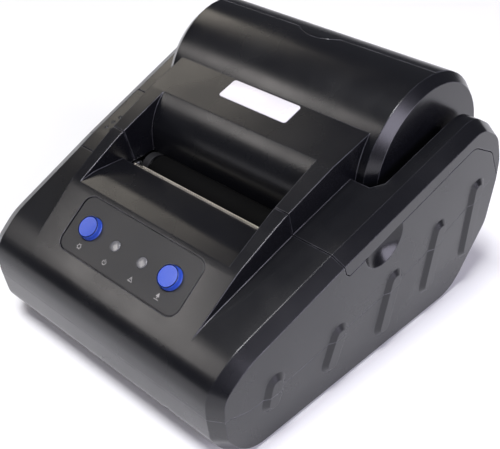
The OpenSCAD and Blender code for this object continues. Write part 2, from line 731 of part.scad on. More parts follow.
module head_springs() color("silver") for (s = [-1, 1])
    translate([s * spring_x, frame_y0 + sheet, spring_z]) rotate([-90, 0, 0]) difference() {
        cylinder(h = sink_y - frame_y0 - sheet - 0.3, r = 2.6, $fn = fine);
        translate([0, 0, -1]) cylinder(h = far, r = 2, $fn = fine);
    }
// Serrated bar on the rear of the lip
module tear_bar() color("#b9b6a8") translate([0, lip_y + bar_t, 0]) rotate([90, 0, 0]) linear_extrude(bar_t)
    polygon(concat([[-bar_l / 2, mouth_floor_z + 0.3], [bar_l / 2, mouth_floor_z + 0.3]],
        [for (i = [0 : 2 * bar_l / tooth_w]) [bar_l / 2 - i * tooth_w / 2, lip_z + (i % 2) * tooth_h]]));

// Latch: a hook by the shaft's end, with a tail under the release button's leg
module latch_hook() color("#3a3c40") difference() {
    nose_y = platen_y + shaft_r + 0.35;
    union() {
        rod(-tail_x - tail_w, -hook_x, latch_y, latch_z, 3.5);
        along_x(-hook_x - hook_w, -hook_x) polygon([[latch_y - 2, latch_z], [latch_y + 3, latch_z],
            [latch_y + 1.5, platen_h + 5.3], [nose_y, platen_h + 5.3], [nose_y, platen_h + 3],
            [latch_y - 2, platen_h + 1.5]]);
        along_x(-tail_x - tail_w, -tail_x) polygon([[latch_y - 2, latch_z + 2], [latch_y + 2, latch_z - 2],
            [tail_y + 2.5, tail_z - 3], [tail_y + 2.5, tail_z], [tail_y - 2.5, tail_z]]);
    }
    rod(-far, 0, latch_y, latch_z, pin_r + run_fit);
}
module latch_pin() color("silver") {
    rod(-tail_x - tail_w - 1.3, -frame_in / 2, latch_y, latch_z, pin_r);
    rod(-tail_x - tail_w - 1.3, -tail_x - tail_w - 0.3, latch_y, latch_z, pin_r + 0.9);
}
module latch_spring() color("silver")
    ring(-hook_x + 0.4, -frame_in / 2 - sheet - 0.1, latch_y, latch_z, pin_r + 1.1, pin_r + 0.3);
module release_button() color(black) {
    difference() {
        intersection() {
            case_solid();
            release_space(0, 5);
        }
        release_hollow();
    }
    intersection() {
        box(-tail_x - tail_w, -tail_x, tail_y - 1.3, tail_y + 1.3, tail_z + latch_play, shoulder_h + 5);
        case_solid();
    }
    for (i = [-1 : 1], j = [-1 : 1]) {
        y = 61 + 3.2 * i;
        translate([-50.5 + 3.2 * j + 0.6 * i, y, shoulder_z(y) - 0.5]) sphere(0.9, $fn = 24);
    }
}
// Space under the button's skin, inside its skirt
module release_hollow() intersection() {
    flared(inset(case_line(), wall), side_half - edge_w, flare);
    release_space(1.4, 20);
}
module release_spring() color("silver") translate([-release_spot[0], release_spot[1], shelf_z]) difference() {
    cylinder(h = shoulder_z(release_spot[1] - 3) - wall - 0.3 - shelf_z, r = coil_r, $fn = fine);
    translate([0, 0, -1]) cylinder(h = far, r = coil_r - 0.7, $fn = fine);
}
module hinge_pins() color("silver") both()
    rod(hinge_x0 + 0.2, hinge_x0 + hinge_l - 0.2, hinge_y, hinge_z, hinge_pin_r);

// Key panel
module control_plate() color("#4b4c50") on_panel() difference() {
    translate([0, plate_s, -1]) linear_extrude(plate_t) polygon(outline(rect(plate_w / 2, plate_l / 2, 3.8)));
    for (s = [-1, 1]) {
        panel_disc(s * key_x, key_s, -2, 2, key_hole_r);
        panel_disc(s * light_x, light_s, -2, 2, light_r + touch);
    }
}
// Cap, flange ring and stem of a key
module key(x) color("#3c5fd0") on_panel() {
    panel_disc(x, key_s, -0.3, 1.8, key_r);
    panel_disc(x, key_s, -2.9, -0.2, key_flange_r);
    panel_disc(x, key_s, stem_end, -2, 2.2);
}
module set_button() key(-key_x);
module feed_button() key(key_x);
module light(x) color("#b9bcc0") on_panel() panel_disc(x, light_s, -2.6, 0, light_r);
module power_light() light(-light_x);
module error_light() light(light_x);
module key_board() color(board_green) on_panel() difference() {
    translate([-30, plate_s - 9.5, -key_board_in - board_t]) cube([60, 19, board_t]);
    for (s = [-1, 1]) panel_disc(s * key_screw_x, key_s, -20, 0, 1 + touch);
}
module tact_switches() color("#202020") on_panel() for (s = [-1, 1]) {
    translate([s * key_x - 3, key_s - 3, -key_board_in]) cube([6, 6, 3.2]);
    panel_disc(s * key_x, key_s, -5.4, switch_top, 1.7);
}
module panel_lamps() color("#d9f0d9") on_panel() for (s = [-1, 1])
    panel_disc(s * light_x, light_s, -key_board_in, -3, 1.5);

// Paper cradle, boards and ports
module paper_cradle() color("#34363a") difference() {
    union() {
        intersection() {
            rod(-cradle_w / 2 - cradle_wall, cradle_w / 2 + cradle_wall, cradle_y, cradle_z, cradle_out);
            box(-far, far, 0, far, 0, cradle_z);
        }
        for (s = [-1, 1], p = shelf_spots)
            box(min(s * (cradle_w / 2 + 0.5), s * (p[0] + 3)), max(s * (cradle_w / 2 + 0.5), s * (p[0] + 3)),
                p[1] - 3, p[1] + 3, shelf_z, shelf_z + 2);
    }
    rod(-cradle_w / 2, cradle_w / 2, cradle_y, cradle_z, cradle_r);
}
module paper_sensor() color("#202020") box(-4, 4, frame_y1 - sheet - 3.5, frame_y1 - sheet, 32, 37);
module main_board() color(board_green) difference() {
    box(-50, 50, board_y0, rear_y - 4.9, board_h, board_h + board_t);
    for (s = [-1, 1], p = board_spots) post(s * p[0], p[1], 0, far, 1 + touch);
}
module board_screws() color("silver") {
    for (s = [-1, 1], p = board_spots) {
        post(s * p[0], p[1], board_h - 5, board_h + board_t, 1);
        post(s * p[0], p[1], board_h + board_t, board_h + board_t + 1.2, 2);
    }
    on_panel() for (s = [-1, 1]) {
        panel_disc(s * key_screw_x, key_s, -key_board_in - board_t, -4, 1);
        panel_disc(s * key_screw_x, key_s, -key_board_in - board_t - 1.2, -key_board_in - board_t, 2);
    }
}
module power_inlet() color("#1c1c1e") difference() {
    box(inlet_x - 4.7, inlet_x + 4.7, port_y, port_face_y, port_z, port_z + port_h - 0.6);
    translate([inlet_x, port_face_y + 1, port_z + 5.8]) rotate([90, 0, 0]) difference() {
        cylinder(h = 10, r = 3.15, $fn = fine);
        cylinder(h = 30, r = 1, $fn = fine);
    }
}
module usb_port() color("#a9acb0") difference() {
    box(usb_x - 6, usb_x + 6, port_y, port_face_y, port_z, port_z + port_h - 0.6);
    difference() {
        box(usb_x - 4.2, usb_x + 4.2, port_y + 2, far, port_z + 1.6, port_z + 9.6);
        box(usb_x - 2.8, usb_x + 2.8, port_y, port_face_y - 1, port_z + 4, port_z + 7.2);
    }
}
module drawer_port() color("#1c1c1e") difference() {
    box(-6.5, 6.5, port_y, port_face_y, port_z, port_z + port_h - 0.6);
    box(-4.9, 4.9, port_y + 2, far, port_z + 2.6, port_z + 9.4);
}
module switch_housing() color("#1c1c1e") difference() {
    union() {
        box(switch_x - 9.3, switch_x + 9.3, port_y, rear_y + 0.3, port_z + 0.3, port_z + port_h + 0.9);
        along_x(switch_x - 10.6, switch_x + 10.6)
            polygon([for (q = [[0, -1], [1, -1], [1, port_h + 2], [0, port_h + 2]])
                [rear_line(port_z + q[1]) + touch + q[0], port_z + q[1]]]);
    }
    box(switch_x - 8, switch_x + 8, rear_y - 7.5, far, port_z + 1.6, port_z + port_h - 0.4);
    rocker_pin(pin_r / 2 + run_fit, 1.3);
}
module rocker_pin(r, reach) translate([switch_x, switch_y, port_z + 1.6 - reach])
    cylinder(h = port_h - 2 + 2 * reach, r = r, $fn = fine);
module switch_rocker() color("#141416") {
    translate([switch_x, switch_y, port_z + 2]) linear_extrude(port_h - 2.8)
        polygon([[-6.7, 0.2], [0, -3], [6.7, 0.2], [6.7, 2.4], [0, 3.4], [-6.7, 4.8]]);
    rocker_pin(pin_r / 2, 0.8);
}
module rubber_feet() color("#1a1a1a") for (s = [-1, 1], p = foot_spots)
    post(s * p[0], p[1], -foot_h, 1, foot_r);
module case_screws() color("silver") for (s = [-1, 1], p = screw_spots) {
    post(s * p[0], p[1], head_seat, p[2] + 10, pin_r);
    post(s * p[0], p[1], 0.4, head_seat, 2.8);
}

place() lower_case();
place() upper_case();
place() lid_shell();
place() drum_panel();
place() lid_frame();
place() hinge_pins();
place() release_button();
place() release_spring();
place() latch_hook();
place() latch_pin();
place() latch_spring();
place() label_badge();
place() control_plate();
place() set_button();
place() feed_button();
place() power_light();
place() error_light();
place() key_board();
place() tact_switches();
place() panel_lamps();
place() tear_bar();
place() mechanism_frame();
place() heat_sink();
place() print_head();
place() head_pin();
place() head_springs();
place() platen_roller();
place() platen_shaft();
place() platen_bushings();
place() platen_gear();
place() reduction_gear();
place() reduction_axle();
place() stepper_motor();
place() motor_pinion();
place() paper_cradle();
place() paper_sensor();
place() main_board();
place() power_inlet();
place() usb_port();
place() drawer_port();
place() switch_housing();
place() switch_rocker();
place() rubber_feet();
place() case_screws();
place() frame_screws();
place() board_screws();
place() motor_screws();
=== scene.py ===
"""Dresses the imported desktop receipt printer: finishes, fine pieces, floor, lights and camera.

Sizes are in millimetres on the bench: x from the middle, y from the nose, z from the underside of
the case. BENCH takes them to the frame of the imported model, in metres.
"""

from __future__ import annotations

import json
import logging
import math
from dataclasses import dataclass
from enum import Enum
from typing import Callable, Sequence

import bmesh
import bpy
from mathutils import Matrix, Vector

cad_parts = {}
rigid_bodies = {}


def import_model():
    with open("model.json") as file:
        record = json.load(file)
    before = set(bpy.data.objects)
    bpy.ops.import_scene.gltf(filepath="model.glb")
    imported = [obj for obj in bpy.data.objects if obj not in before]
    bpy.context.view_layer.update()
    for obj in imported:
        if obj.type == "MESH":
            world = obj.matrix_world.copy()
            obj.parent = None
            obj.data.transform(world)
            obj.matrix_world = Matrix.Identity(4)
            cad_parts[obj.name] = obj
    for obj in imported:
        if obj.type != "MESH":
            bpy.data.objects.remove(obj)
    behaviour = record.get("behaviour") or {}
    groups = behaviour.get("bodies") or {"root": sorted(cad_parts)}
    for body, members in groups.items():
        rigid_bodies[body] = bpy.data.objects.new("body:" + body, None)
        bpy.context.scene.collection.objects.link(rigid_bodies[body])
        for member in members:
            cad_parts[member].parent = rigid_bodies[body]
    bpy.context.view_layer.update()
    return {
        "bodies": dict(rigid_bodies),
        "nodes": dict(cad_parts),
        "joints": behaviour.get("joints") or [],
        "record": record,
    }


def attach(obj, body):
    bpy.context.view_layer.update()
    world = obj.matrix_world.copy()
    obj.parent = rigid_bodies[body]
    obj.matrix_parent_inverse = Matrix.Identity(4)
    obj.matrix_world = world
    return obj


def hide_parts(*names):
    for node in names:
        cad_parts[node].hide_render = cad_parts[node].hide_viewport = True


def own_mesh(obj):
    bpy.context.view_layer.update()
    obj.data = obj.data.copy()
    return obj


LOG = logging.getLogger("receipt_printer")

Colour = tuple[float, float, float]
Point = tuple[float, float, float]
Spot = tuple[float, float]
Test = Callable[[object], bool]

METRE = 1000
HALF_DEPTH = 0.0732
FOOT_HEIGHT = 0.0012
BENCH = Matrix.Translation((0, -HALF_DEPTH, FOOT_HEIGHT)) @ Matrix.Scale(1 / METRE, 4)
PANEL_SLOPE = math.radians(35.6)
PANEL_FOOT_Z = 34.5
PANEL = BENCH @ Matrix.Translation((0, 0, PANEL_FOOT_Z)) @ Matrix.Rotation(PANEL_SLOPE, 4, "X")
BAND_SLOPE = math.radians(14.1)
CREASE_Y, CREASE_Z = 72.0, 73.2
BAND_Y = 84.8
BAND_Z = CREASE_Z + math.tan(BAND_SLOPE) * (BAND_Y - CREASE_Y)
BAND = BENCH @ Matrix.Translation((0, BAND_Y, BAND_Z)) @ Matrix.Rotation(BAND_SLOPE, 4, "X")
UNTURNED = Matrix.Identity(4)

FACING = 0.9
FLAT_SMOOTH = 14.0
BOARD_TOP = 26.8
MOTOR_Y, MOTOR_Z = 67.1, 26.069
GRAIN_DEPTH = 0.00008
DRAWN_DEPTH = 0.00003
EDGE_RADIUS = 0.0005
DUST_TONE = (0.42, 0.41, 0.39)


class Body(str, Enum):
    """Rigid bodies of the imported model."""

    CASE = "case"
    LID = "lid"
    PLATEN = "platen"
    REDUCTION = "reduction"
    PINION = "pinion"
    HEAD = "head"
    RELEASE = "release"
    LATCH = "latch"
    SET_KEY = "set_key"
    FEED_KEY = "feed_key"
    ROCKER = "rocker"


class Axis(Enum):
    """Turns that lay a shape modelled upright along another axis."""

    X = Matrix.Rotation(math.radians(90), 4, "Y")
    Y = Matrix.Rotation(math.radians(-90), 4, "X")
    Z = UNTURNED


# Finishes


def new_group(name: str, inputs: dict[str, float], outputs: dict[str, str]) -> bpy.types.NodeTree:
    """Starts a shader node group.

    Args:
        name: Name of the group.
        inputs: Names of the number inputs, with their defaults.
        outputs: Names of the outputs, with their socket types.

    Returns:
        The group, with its input and output nodes in place.
    """
    group = bpy.data.node_groups.new(name, "ShaderNodeTree")
    for label, value in inputs.items():
        socket = group.interface.new_socket(name=label, in_out="INPUT", socket_type="NodeSocketFloat")
        socket.default_value = value
    for label, kind in outputs.items():
        group.interface.new_socket(name=label, in_out="OUTPUT", socket_type=kind)
    group.nodes.new("NodeGroupInput")
    group.nodes.new("NodeGroupOutput")
    return group


@dataclass
class Wiring:
    """Adds nodes to a tree and links them."""

    tree: bpy.types.NodeTree

    def add(self, kind: str, **settings: object) -> bpy.types.Node:
        """Adds a node and sets its properties."""
        node = self.tree.nodes.new(kind)
        for key, value in settings.items():
            setattr(node, key, value)
        return node

    def link(self, source: bpy.types.NodeSocket, target: bpy.types.NodeSocket) -> None:
        """Links two sockets."""
        self.tree.links.new(source, target)

    def feed(self, node: bpy.types.Node, **values: object) -> None:
        """Sets or links inputs of a node, by name with underscores for spaces.

        Args:
            node: The node whose inputs are set.
            **values: A socket is linked, anything else is set as the input's value.
        """
        for key, value in values.items():
            socket = node.inputs[key.replace("_", " ")]
            if isinstance(value, bpy.types.NodeSocket):
                self.link(value, socket)
            else:
                socket.default_value = value

    def maths(self, operation: str, first: object, second: object = 0.0) -> bpy.types.NodeSocket:
        """A maths node's result."""
        node = self.add("ShaderNodeMath", operation=operation)
        for socket, value in zip(node.inputs, (first, second)):
            if isinstance(value, bpy.types.NodeSocket):
                self.link(value, socket)
            else:
                socket.default_value = value
        return node.outputs[0]

    def noise(self, place: bpy.types.NodeSocket, scale: object, detail: float = 3.0) -> bpy.types.NodeSocket:
        """A noise texture's value."""
        node = self.add("ShaderNodeTexNoise")
        self.feed(node, Vector=place, Scale=scale, Detail=detail)
        return node.outputs[0]

    def spread(self, value: bpy.types.NodeSocket, low: float, high: float, to_low: object = 0.0,
               to_high: object = 1.0) -> bpy.types.NodeSocket:
        """Maps a value from one range to another, and keeps it inside."""
        node = self.add("ShaderNodeMapRange")
        self.feed(node, Value=value, From_Min=low, From_Max=high, To_Min=to_low, To_Max=to_high)
        return node.outputs[0]


class Effects:
    """Shared surface effects, each a node group built once."""

    def __init__(self) -> None:
        """Builds the groups."""
        self.moulded = self._moulded()
        self.drawn = self._drawn()
        self.edges = self._edges()
        self.dust = self._dust()

    @staticmethod
    def _moulded() -> bpy.types.NodeTree:
        """Spark-eroded grain with faint smears: a height, a smear mask and a tone mask."""
        group = new_group("MouldedGrain", {"Grain": 1800.0, "Smear": 28.0},
                          {"Height": "NodeSocketFloat", "Smears": "NodeSocketFloat",
                           "Tone": "NodeSocketFloat"})
        w = Wiring(group)
        place = w.add("ShaderNodeTexCoord").outputs["Object"]
        given = group.nodes["Group Input"].outputs
        fine = w.noise(place, given["Grain"], 2.0)
        coarse = w.noise(place, w.maths("MULTIPLY", given["Grain"], 0.31), 2.0)
        height = w.maths("ADD", w.maths("MULTIPLY", fine, 0.65), w.maths("MULTIPLY", coarse, 0.35))
        smears = w.spread(w.noise(place, given["Smear"], 5.0), 0.38, 0.66)
        tone = w.spread(w.noise(place, w.maths("MULTIPLY", given["Smear"], 0.4), 2.0), 0.3, 0.7)
        out = group.nodes["Group Output"].inputs
        w.link(height, out["Height"])
        w.link(smears, out["Smears"])
        w.link(tone, out["Tone"])
        return group

    @staticmethod
    def _drawn() -> bpy.types.NodeTree:
        """Fine lines along x, as on rolled or ground metal: a height and a streak mask."""
        group = new_group("DrawnLines", {"Lines": 900.0},
                          {"Height": "NodeSocketFloat", "Streaks": "NodeSocketFloat"})
        w = Wiring(group)
        place = w.add("ShaderNodeTexCoord").outputs["Object"]
        stretch = w.add("ShaderNodeMapping")
        w.feed(stretch, Vector=place, Scale=(0.04, 1.0, 1.0))
        given = group.nodes["Group Input"].outputs
        lines = w.noise(stretch.outputs[0], given["Lines"], 3.0)
        out = group.nodes["Group Output"].inputs
        w.link(lines, out["Height"])
        w.link(w.spread(lines, 0.35, 0.65), out["Streaks"])
        return group

    @staticmethod
    def _edges() -> bpy.types.NodeTree:
        """Edges rubbed by use and given a painted highlight: a softened normal and a mask that is 1 along
        edges.
        """
        group = new_group("EdgesWornAndHighlit", {"Patch": 160.0},
                          {"Normal": "NodeSocketVector", "Mask": "NodeSocketFloat"})
        w = Wiring(group)
        soft = w.add("ShaderNodeBevel", samples=6)
        w.feed(soft, Radius=EDGE_RADIUS)
        flat = w.add("ShaderNodeNewGeometry").outputs["Normal"]
        dot = w.add("ShaderNodeVectorMath", operation="DOT_PRODUCT")
        w.link(soft.outputs[0], dot.inputs[0])
        w.link(flat, dot.inputs[1])
        # Mask along edges: rubbed wear and a painted edge highlight.
        worn_and_highlit_edge = w.spread(dot.outputs["Value"], 0.985, 0.86)
        place = w.add("ShaderNodeTexCoord").outputs["Object"]
        cloud = w.noise(place, group.nodes["Group Input"].outputs["Patch"], 4.0)
        patch = w.spread(cloud, 0.42, 0.62, 0.35, 1.0)
        out = group.nodes["Group Output"].inputs
        w.link(soft.outputs[0], out["Normal"])
        w.link(w.maths("MULTIPLY", worn_and_highlit_edge, patch), out["Mask"])
        return group

    @staticmethod
    def _dust() -> bpy.types.NodeTree:
        """Light dust that lies on what faces up: a mask."""
        group = new_group("SettledDust", {"Amount": 0.03}, {"Mask": "NodeSocketFloat"})
        w = Wiring(group)
        split = w.add("ShaderNodeSeparateXYZ")
        w.link(w.add("ShaderNodeNewGeometry").outputs["Normal"], split.inputs[0])
        up = w.spread(split.outputs["Z"], 0.35, 0.95)
        place = w.add("ShaderNodeTexCoord").outputs["Object"]
        cloud = w.spread(w.noise(place, 60.0, 6.0), 0.3, 0.75, 0.3, 1.0)
        speck = w.spread(w.noise(place, 2600.0, 1.0), 0.68, 0.78, 0.0, 1.5)
        mask = w.maths("MULTIPLY", w.maths("MULTIPLY", up, w.maths("ADD", cloud, speck)),
                       group.nodes["Group Input"].outputs["Amount"])
        w.link(mask, group.nodes["Group Output"].inputs["Mask"])
        return group


@dataclass(frozen=True)
class Finish:
    """A surface finish: what it looks like and the material slot it belongs to."""

    slot: str
    colour: Colour
    roughness: float = 0.4
    grain: float = 0.0
    grain_size: float = 1800.0
    smear: float = 0.08
    coat: float = 0.0
    # Colour and strength of the lighter edges: rubbed wear and a painted edge highlight.
    edge_wear_and_highlight: Colour | None = None
    edge_wear_and_highlight_strength: float = 0.0
    dust: float = 0.0
    specular: float = 0.5

    def _start(self) -> tuple[bpy.types.Material, Wiring, bpy.types.Node]:
        """A new material, its wiring and its shader."""
        material = bpy.data.materials.new(f"finish_{self.slot}")
        material.use_nodes = True
        material.diffuse_color = (*self.colour, 1.0)
        shader = material.node_tree.nodes["Principled BSDF"]
        return material, Wiring(material.node_tree), shader

    def build(self, effects: Effects) -> bpy.types.Material:
        """Builds the moulded finish.

        Args:
            effects: The shared node groups.

        Returns:
            The material.
        """
        material, w, shader = self._start()
        shader.inputs["Specular IOR Level"].default_value = self.specular
        shader.inputs["Coat Weight"].default_value = self.coat
        shader.inputs["Coat Roughness"].default_value = 0.12
        skin = w.add("ShaderNodeGroup", node_tree=effects.moulded)
        skin.inputs["Grain"].default_value = self.grain_size
        edge = w.add("ShaderNodeGroup", node_tree=effects.edges)
        dust = w.add("ShaderNodeGroup", node_tree=effects.dust)
        dust.inputs["Amount"].default_value = self.dust
        dark, light = [0.86 * c for c in self.colour], [1.14 * c for c in self.colour]
        tone = self._mix(w, skin.outputs["Tone"], dark, light)
        # Lighter colour along the edges: rubbed wear and a painted edge highlight.
        worn_and_highlit_amount = w.maths("MULTIPLY", edge.outputs["Mask"], self.edge_wear_and_highlight_strength)
        worn_and_highlit_colour = self._mix(w, worn_and_highlit_amount, tone, self.edge_wear_and_highlight or self.colour)
        w.link(self._mix(w, dust.outputs["Mask"], worn_and_highlit_colour, DUST_TONE), shader.inputs["Base Color"])
        self._surface(w, shader, skin.outputs["Smears"], skin.outputs["Height"], GRAIN_DEPTH, edge)
        return material

    def _surface(self, w: Wiring, shader: bpy.types.Node, smears: bpy.types.NodeSocket,
                 height: bpy.types.NodeSocket, depth: float, edge: bpy.types.Node) -> None:
        """Links the smeared roughness and the bumped normal to the shader.

        Args:
            w: The material's wiring.
            shader: Its shader.
            smears: Mask that varies the roughness.
            height: Height of the grain.
            depth: Depth of the grain, in metres.
            edge: The group that softens the edges.
        """
        w.link(w.spread(smears, 0.0, 1.0, self.roughness - self.smear, self.roughness + self.smear),
               shader.inputs["Roughness"])
        bump = w.add("ShaderNodeBump")
        w.feed(bump, Strength=self.grain, Distance=depth, Height=height, Normal=edge.outputs["Normal"])
        w.link(bump.outputs[0], shader.inputs["Normal"])

    @staticmethod
    def _mix(w: Wiring, mask: bpy.types.NodeSocket, first: object, second: object) -> bpy.types.NodeSocket:
        """Mixes two colours by a mask."""
        node = w.add("ShaderNodeMix", data_type="RGBA")
        w.link(mask, node.inputs[0])
        for socket, value in ((node.inputs[6], first), (node.inputs[7], second)):
            if isinstance(value, bpy.types.NodeSocket):
                w.link(value, socket)
            else:
                socket.default_value = (*value, 1.0)
        return node.outputs[2]


@dataclass(frozen=True)
class MetalFinish(Finish):
    """Drawn, ground or plated metal."""

    lines: float = 900.0

    def build(self, effects: Effects) -> bpy.types.Material:
        """Builds the metal finish.

        Args:
            effects: The shared node groups.

        Returns:
            The material.
        """
        material, w, shader = self._start()
        shader.inputs["Metallic"].default_value = 1.0
        drawn = w.add("ShaderNodeGroup", node_tree=effects.drawn)
        drawn.inputs["Lines"].default_value = self.lines
        edge = w.add("ShaderNodeGroup", node_tree=effects.edges)
        tone = self._mix(w, drawn.outputs["Streaks"], [0.84 * c for c in self.colour], self.colour)
        bright = [min(1.0, 1.3 * c) for c in self.colour]
        w.link(self._mix(w, edge.outputs["Mask"], tone, bright), shader.inputs["Base Color"])
        self._surface(w, shader, drawn.outputs["Streaks"], drawn.outputs["Height"], DRAWN_DEPTH, edge)
        return material


# The edge colours below are lighter than each body colour: rubbed wear and a painted highlight along the
# edges, strongest on case_black.
FINISHES: tuple[Finish, ...] = (
    Finish("case_black", (0.0036, 0.0038, 0.0052), 0.27, 0.14, 2300.0, 0.05,
           edge_wear_and_highlight=(0.13, 0.13, 0.15), edge_wear_and_highlight_strength=0.75, dust=0.004),
    Finish("frame_grey", (0.01, 0.01, 0.011), 0.5, 0.3, 1500.0,
           edge_wear_and_highlight=(0.04, 0.04, 0.04), edge_wear_and_highlight_strength=0.3, specular=0.25),
    MetalFinish("steel", (0.6, 0.6, 0.61), 0.28, 0.15),
    MetalFinish("dark_metal", (0.12, 0.12, 0.13), 0.42, 0.2, smear=0.1),
    Finish("label_white", (0.66, 0.64, 0.66), 0.3, 0.05, 900.0, 0.05, 0.3),
    Finish("plate_grey", (0.014, 0.014, 0.015), 0.42, 0.3, 2600.0, 0.04,
           edge_wear_and_highlight=(0.09, 0.09, 0.1), edge_wear_and_highlight_strength=0.6),
    Finish("key_blue", (0.019, 0.062, 0.4), 0.34, 0.2, 2000.0, 0.06, 0.1,
           edge_wear_and_highlight=(0.06, 0.13, 0.55), edge_wear_and_highlight_strength=0.5),
    Finish("window_grey", (0.11, 0.11, 0.115), 0.22, 0.1, 1500.0, 0.05, 0.6),
    Finish("board_green", (0.02, 0.12, 0.05), 0.38, 0.1, 700.0, coat=0.3),
    Finish("part_black", (0.008, 0.008, 0.008), 0.5, 0.2, 1500.0,
           edge_wear_and_highlight=(0.03, 0.03, 0.03), edge_wear_and_highlight_strength=0.3, specular=0.2),
    Finish("lamp_clear", (0.6, 0.75, 0.62), 0.1, 0.0, coat=1.0),
    MetalFinish("bar_steel", (0.4, 0.37, 0.32), 0.34, 0.25, lines=1400.0),
    MetalFinish("sheet_steel", (0.52, 0.53, 0.55), 0.36, 0.3, smear=0.12),
    MetalFinish("sink_aluminium", (0.66, 0.67, 0.68), 0.42, 0.35),
    Finish("head_ceramic", (0.7, 0.66, 0.55), 0.18, 0.05, coat=0.5),
    # Black rubber, made darker than its own colour as painted shade, so the roller reads as the dark slot
    # behind the tear bar.
    Finish("roller_rubber", (0.003, 0.003, 0.003), 0.88, 0.6, 2600.0, 0.1, specular=0.05),
    Finish("gear_plastic", (0.62, 0.58, 0.47), 0.42, 0.15, 1200.0),
    MetalFinish("motor_steel", (0.34, 0.35, 0.36), 0.33, 0.2),
    MetalFinish("pinion_brass", (0.72, 0.52, 0.2), 0.25, 0.15),
    Finish("cradle_black", (0.02, 0.02, 0.022), 0.46, 0.4, 1600.0, dust=0.03),
    MetalFinish("port_steel", (0.5, 0.51, 0.52), 0.25, 0.15),
    Finish("foot_rubber", (0.015, 0.015, 0.015), 0.7, 0.5, 1800.0),
)


# Modelling by hand


def clear_selection() -> None:
    """Deselects everything, so that an operator acts on one piece only."""
    if bpy.context.object and bpy.context.object.mode != "OBJECT":
        bpy.ops.object.mode_set(mode="OBJECT")
    for each in bpy.context.selected_objects:
        each.select_set(False)


def hold(piece: bpy.types.Object) -> None:
    """Selects one piece alone and makes it active."""
    clear_selection()
    piece.select_set(True)
    bpy.context.view_layer.objects.active = piece


def block(low: Point, high: Point) -> bpy.types.Object:
    """A box between two corners."""
    clear_selection()
    middle = [(a + b) / 2 for a, b in zip(low, high)]
    bpy.ops.mesh.primitive_cube_add(size=1, location=middle, scale=[b - a for a, b in zip(low, high)])
    bpy.ops.object.transform_apply(location=True, rotation=True, scale=True)
    return bpy.context.object


def drum(radius: float, start: Point, length: float, axis: Axis = Axis.Z,
         sides: int = 48) -> bpy.types.Object:
    """A cylinder from a point along an axis.

    Args:
        radius: Its radius.
        start: The middle of its first end.
        length: How far it reaches along the axis.
        axis: The axis it lies along.
        sides: Number of sides.

    Returns:
        The new object.
    """
    clear_selection()
    bpy.ops.mesh.primitive_cylinder_add(
        vertices=sides, radius=radius, depth=length, location=(0, 0, length / 2))
    bpy.ops.object.transform_apply(location=True, rotation=True, scale=True)
    piece = bpy.context.object
    piece.matrix_world = Matrix.Translation(start) @ axis.value
    bpy.ops.object.transform_apply(location=True, rotation=True, scale=True)
    return piece


def pick_faces(piece: bpy.types.Object, test: Test) -> None:
    """Enters edit mode with just the faces selected that pass a test."""
    hold(piece)
    bpy.ops.object.mode_set(mode="EDIT")
    bpy.ops.mesh.select_mode(type="FACE")
    bpy.ops.mesh.select_all(action="DESELECT")
    shape = bmesh.from_edit_mesh(piece.data)
    for face in shape.faces:
        face.select_set(test(face))
    bmesh.update_edit_mesh(piece.data)


def pick_edges(piece: bpy.types.Object, test: Test) -> None:
    """Enters edit mode with just the edges selected that pass a test."""
    hold(piece)
    bpy.ops.object.mode_set(mode="EDIT")
    bpy.ops.mesh.select_mode(type="EDGE")
    bpy.ops.mesh.select_all(action="DESELECT")
    shape = bmesh.from_edit_mesh(piece.data)
    for edge in shape.edges:
        edge.select_set(test(edge))
    shape.select_flush_mode()
    bmesh.update_edit_mesh(piece.data)


def done() -> None:
    """Leaves edit mode."""
    bpy.ops.object.mode_set(mode="OBJECT")


def faces_up(face: object) -> bool:
    """True for a face that looks along +z."""
    return face.normal.z > FACING


def step_in(piece: bpy.types.Object, test: Test, thickness: float, depth: float) -> None:
    """Insets the faces that pass a test, and moves the inner face.

    Args:
        piece: The piece to shape.
        test: Tells which faces are taken.
        thickness: Width of the inset.
        depth: How far the inner face moves along its normal.
    """
    pick_faces(piece, test)
    bpy.ops.mesh.inset(thickness=thickness, depth=0.0, use_even_offset=True)
    if depth:
        shape = bmesh.from_edit_mesh(piece.data)
        chosen = [f for f in shape.faces if f.select]
        normal = sum((f.normal for f in chosen), Vector()) / max(1, len(chosen))
        bpy.ops.transform.translate(value=normal * depth)
    done()


def raise_inner(piece: bpy.types.Object, test: Test, thickness: float, height: float) -> None:
    """Insets the faces that pass a test, and extrudes the inner face with upright walls.

    Args:
        piece: The piece to shape.
        test: Tells which faces are taken.
        thickness: Width of the inset.
        height: How far the inner face is extruded along its normal.
    """
    pick_faces(piece, test)
    shape = bmesh.from_edit_mesh(piece.data)
    normal = next(f.normal.copy() for f in shape.faces if f.select)
    bpy.ops.mesh.inset(thickness=thickness, depth=0.0, use_even_offset=True)
    bpy.ops.mesh.extrude_region_move(TRANSFORM_OT_translate={"value": normal * height})
    done()


def round_corners(piece: bpy.types.Object, radius: float, segments: int = 7) -> None:
    """Rounds the upright edges of a plate."""
    pick_edges(piece, lambda e: abs((e.verts[0].co - e.verts[1].co).normalized().z) > FACING)
    bpy.ops.mesh.bevel(offset=radius, segments=segments, affect="EDGES")
    done()


def flat_ring(outer: float, inner: float, middle: Point, height: float) -> bpy.types.Object:
    """A flat ring that lies on a surface."""
    ring = drum(outer, middle, height, sides=32)
    x, y, z = middle
    trim(ring, drum(inner, (x, y, z - height), 3 * height, sides=32))
    return ring


def soften(piece: bpy.types.Object, width: float, segments: int = 2, angle: float = 40.0) -> None:
    """Rounds a piece's sharp edges with an applied Bevel modifier."""
    hold(piece)
    rounding = piece.modifiers.new("rounding", "BEVEL")
    rounding.width = width
    rounding.segments = segments
    rounding.limit_method = "ANGLE"
    rounding.angle_limit = math.radians(angle)
    bpy.ops.object.modifier_apply(modifier=rounding.name)


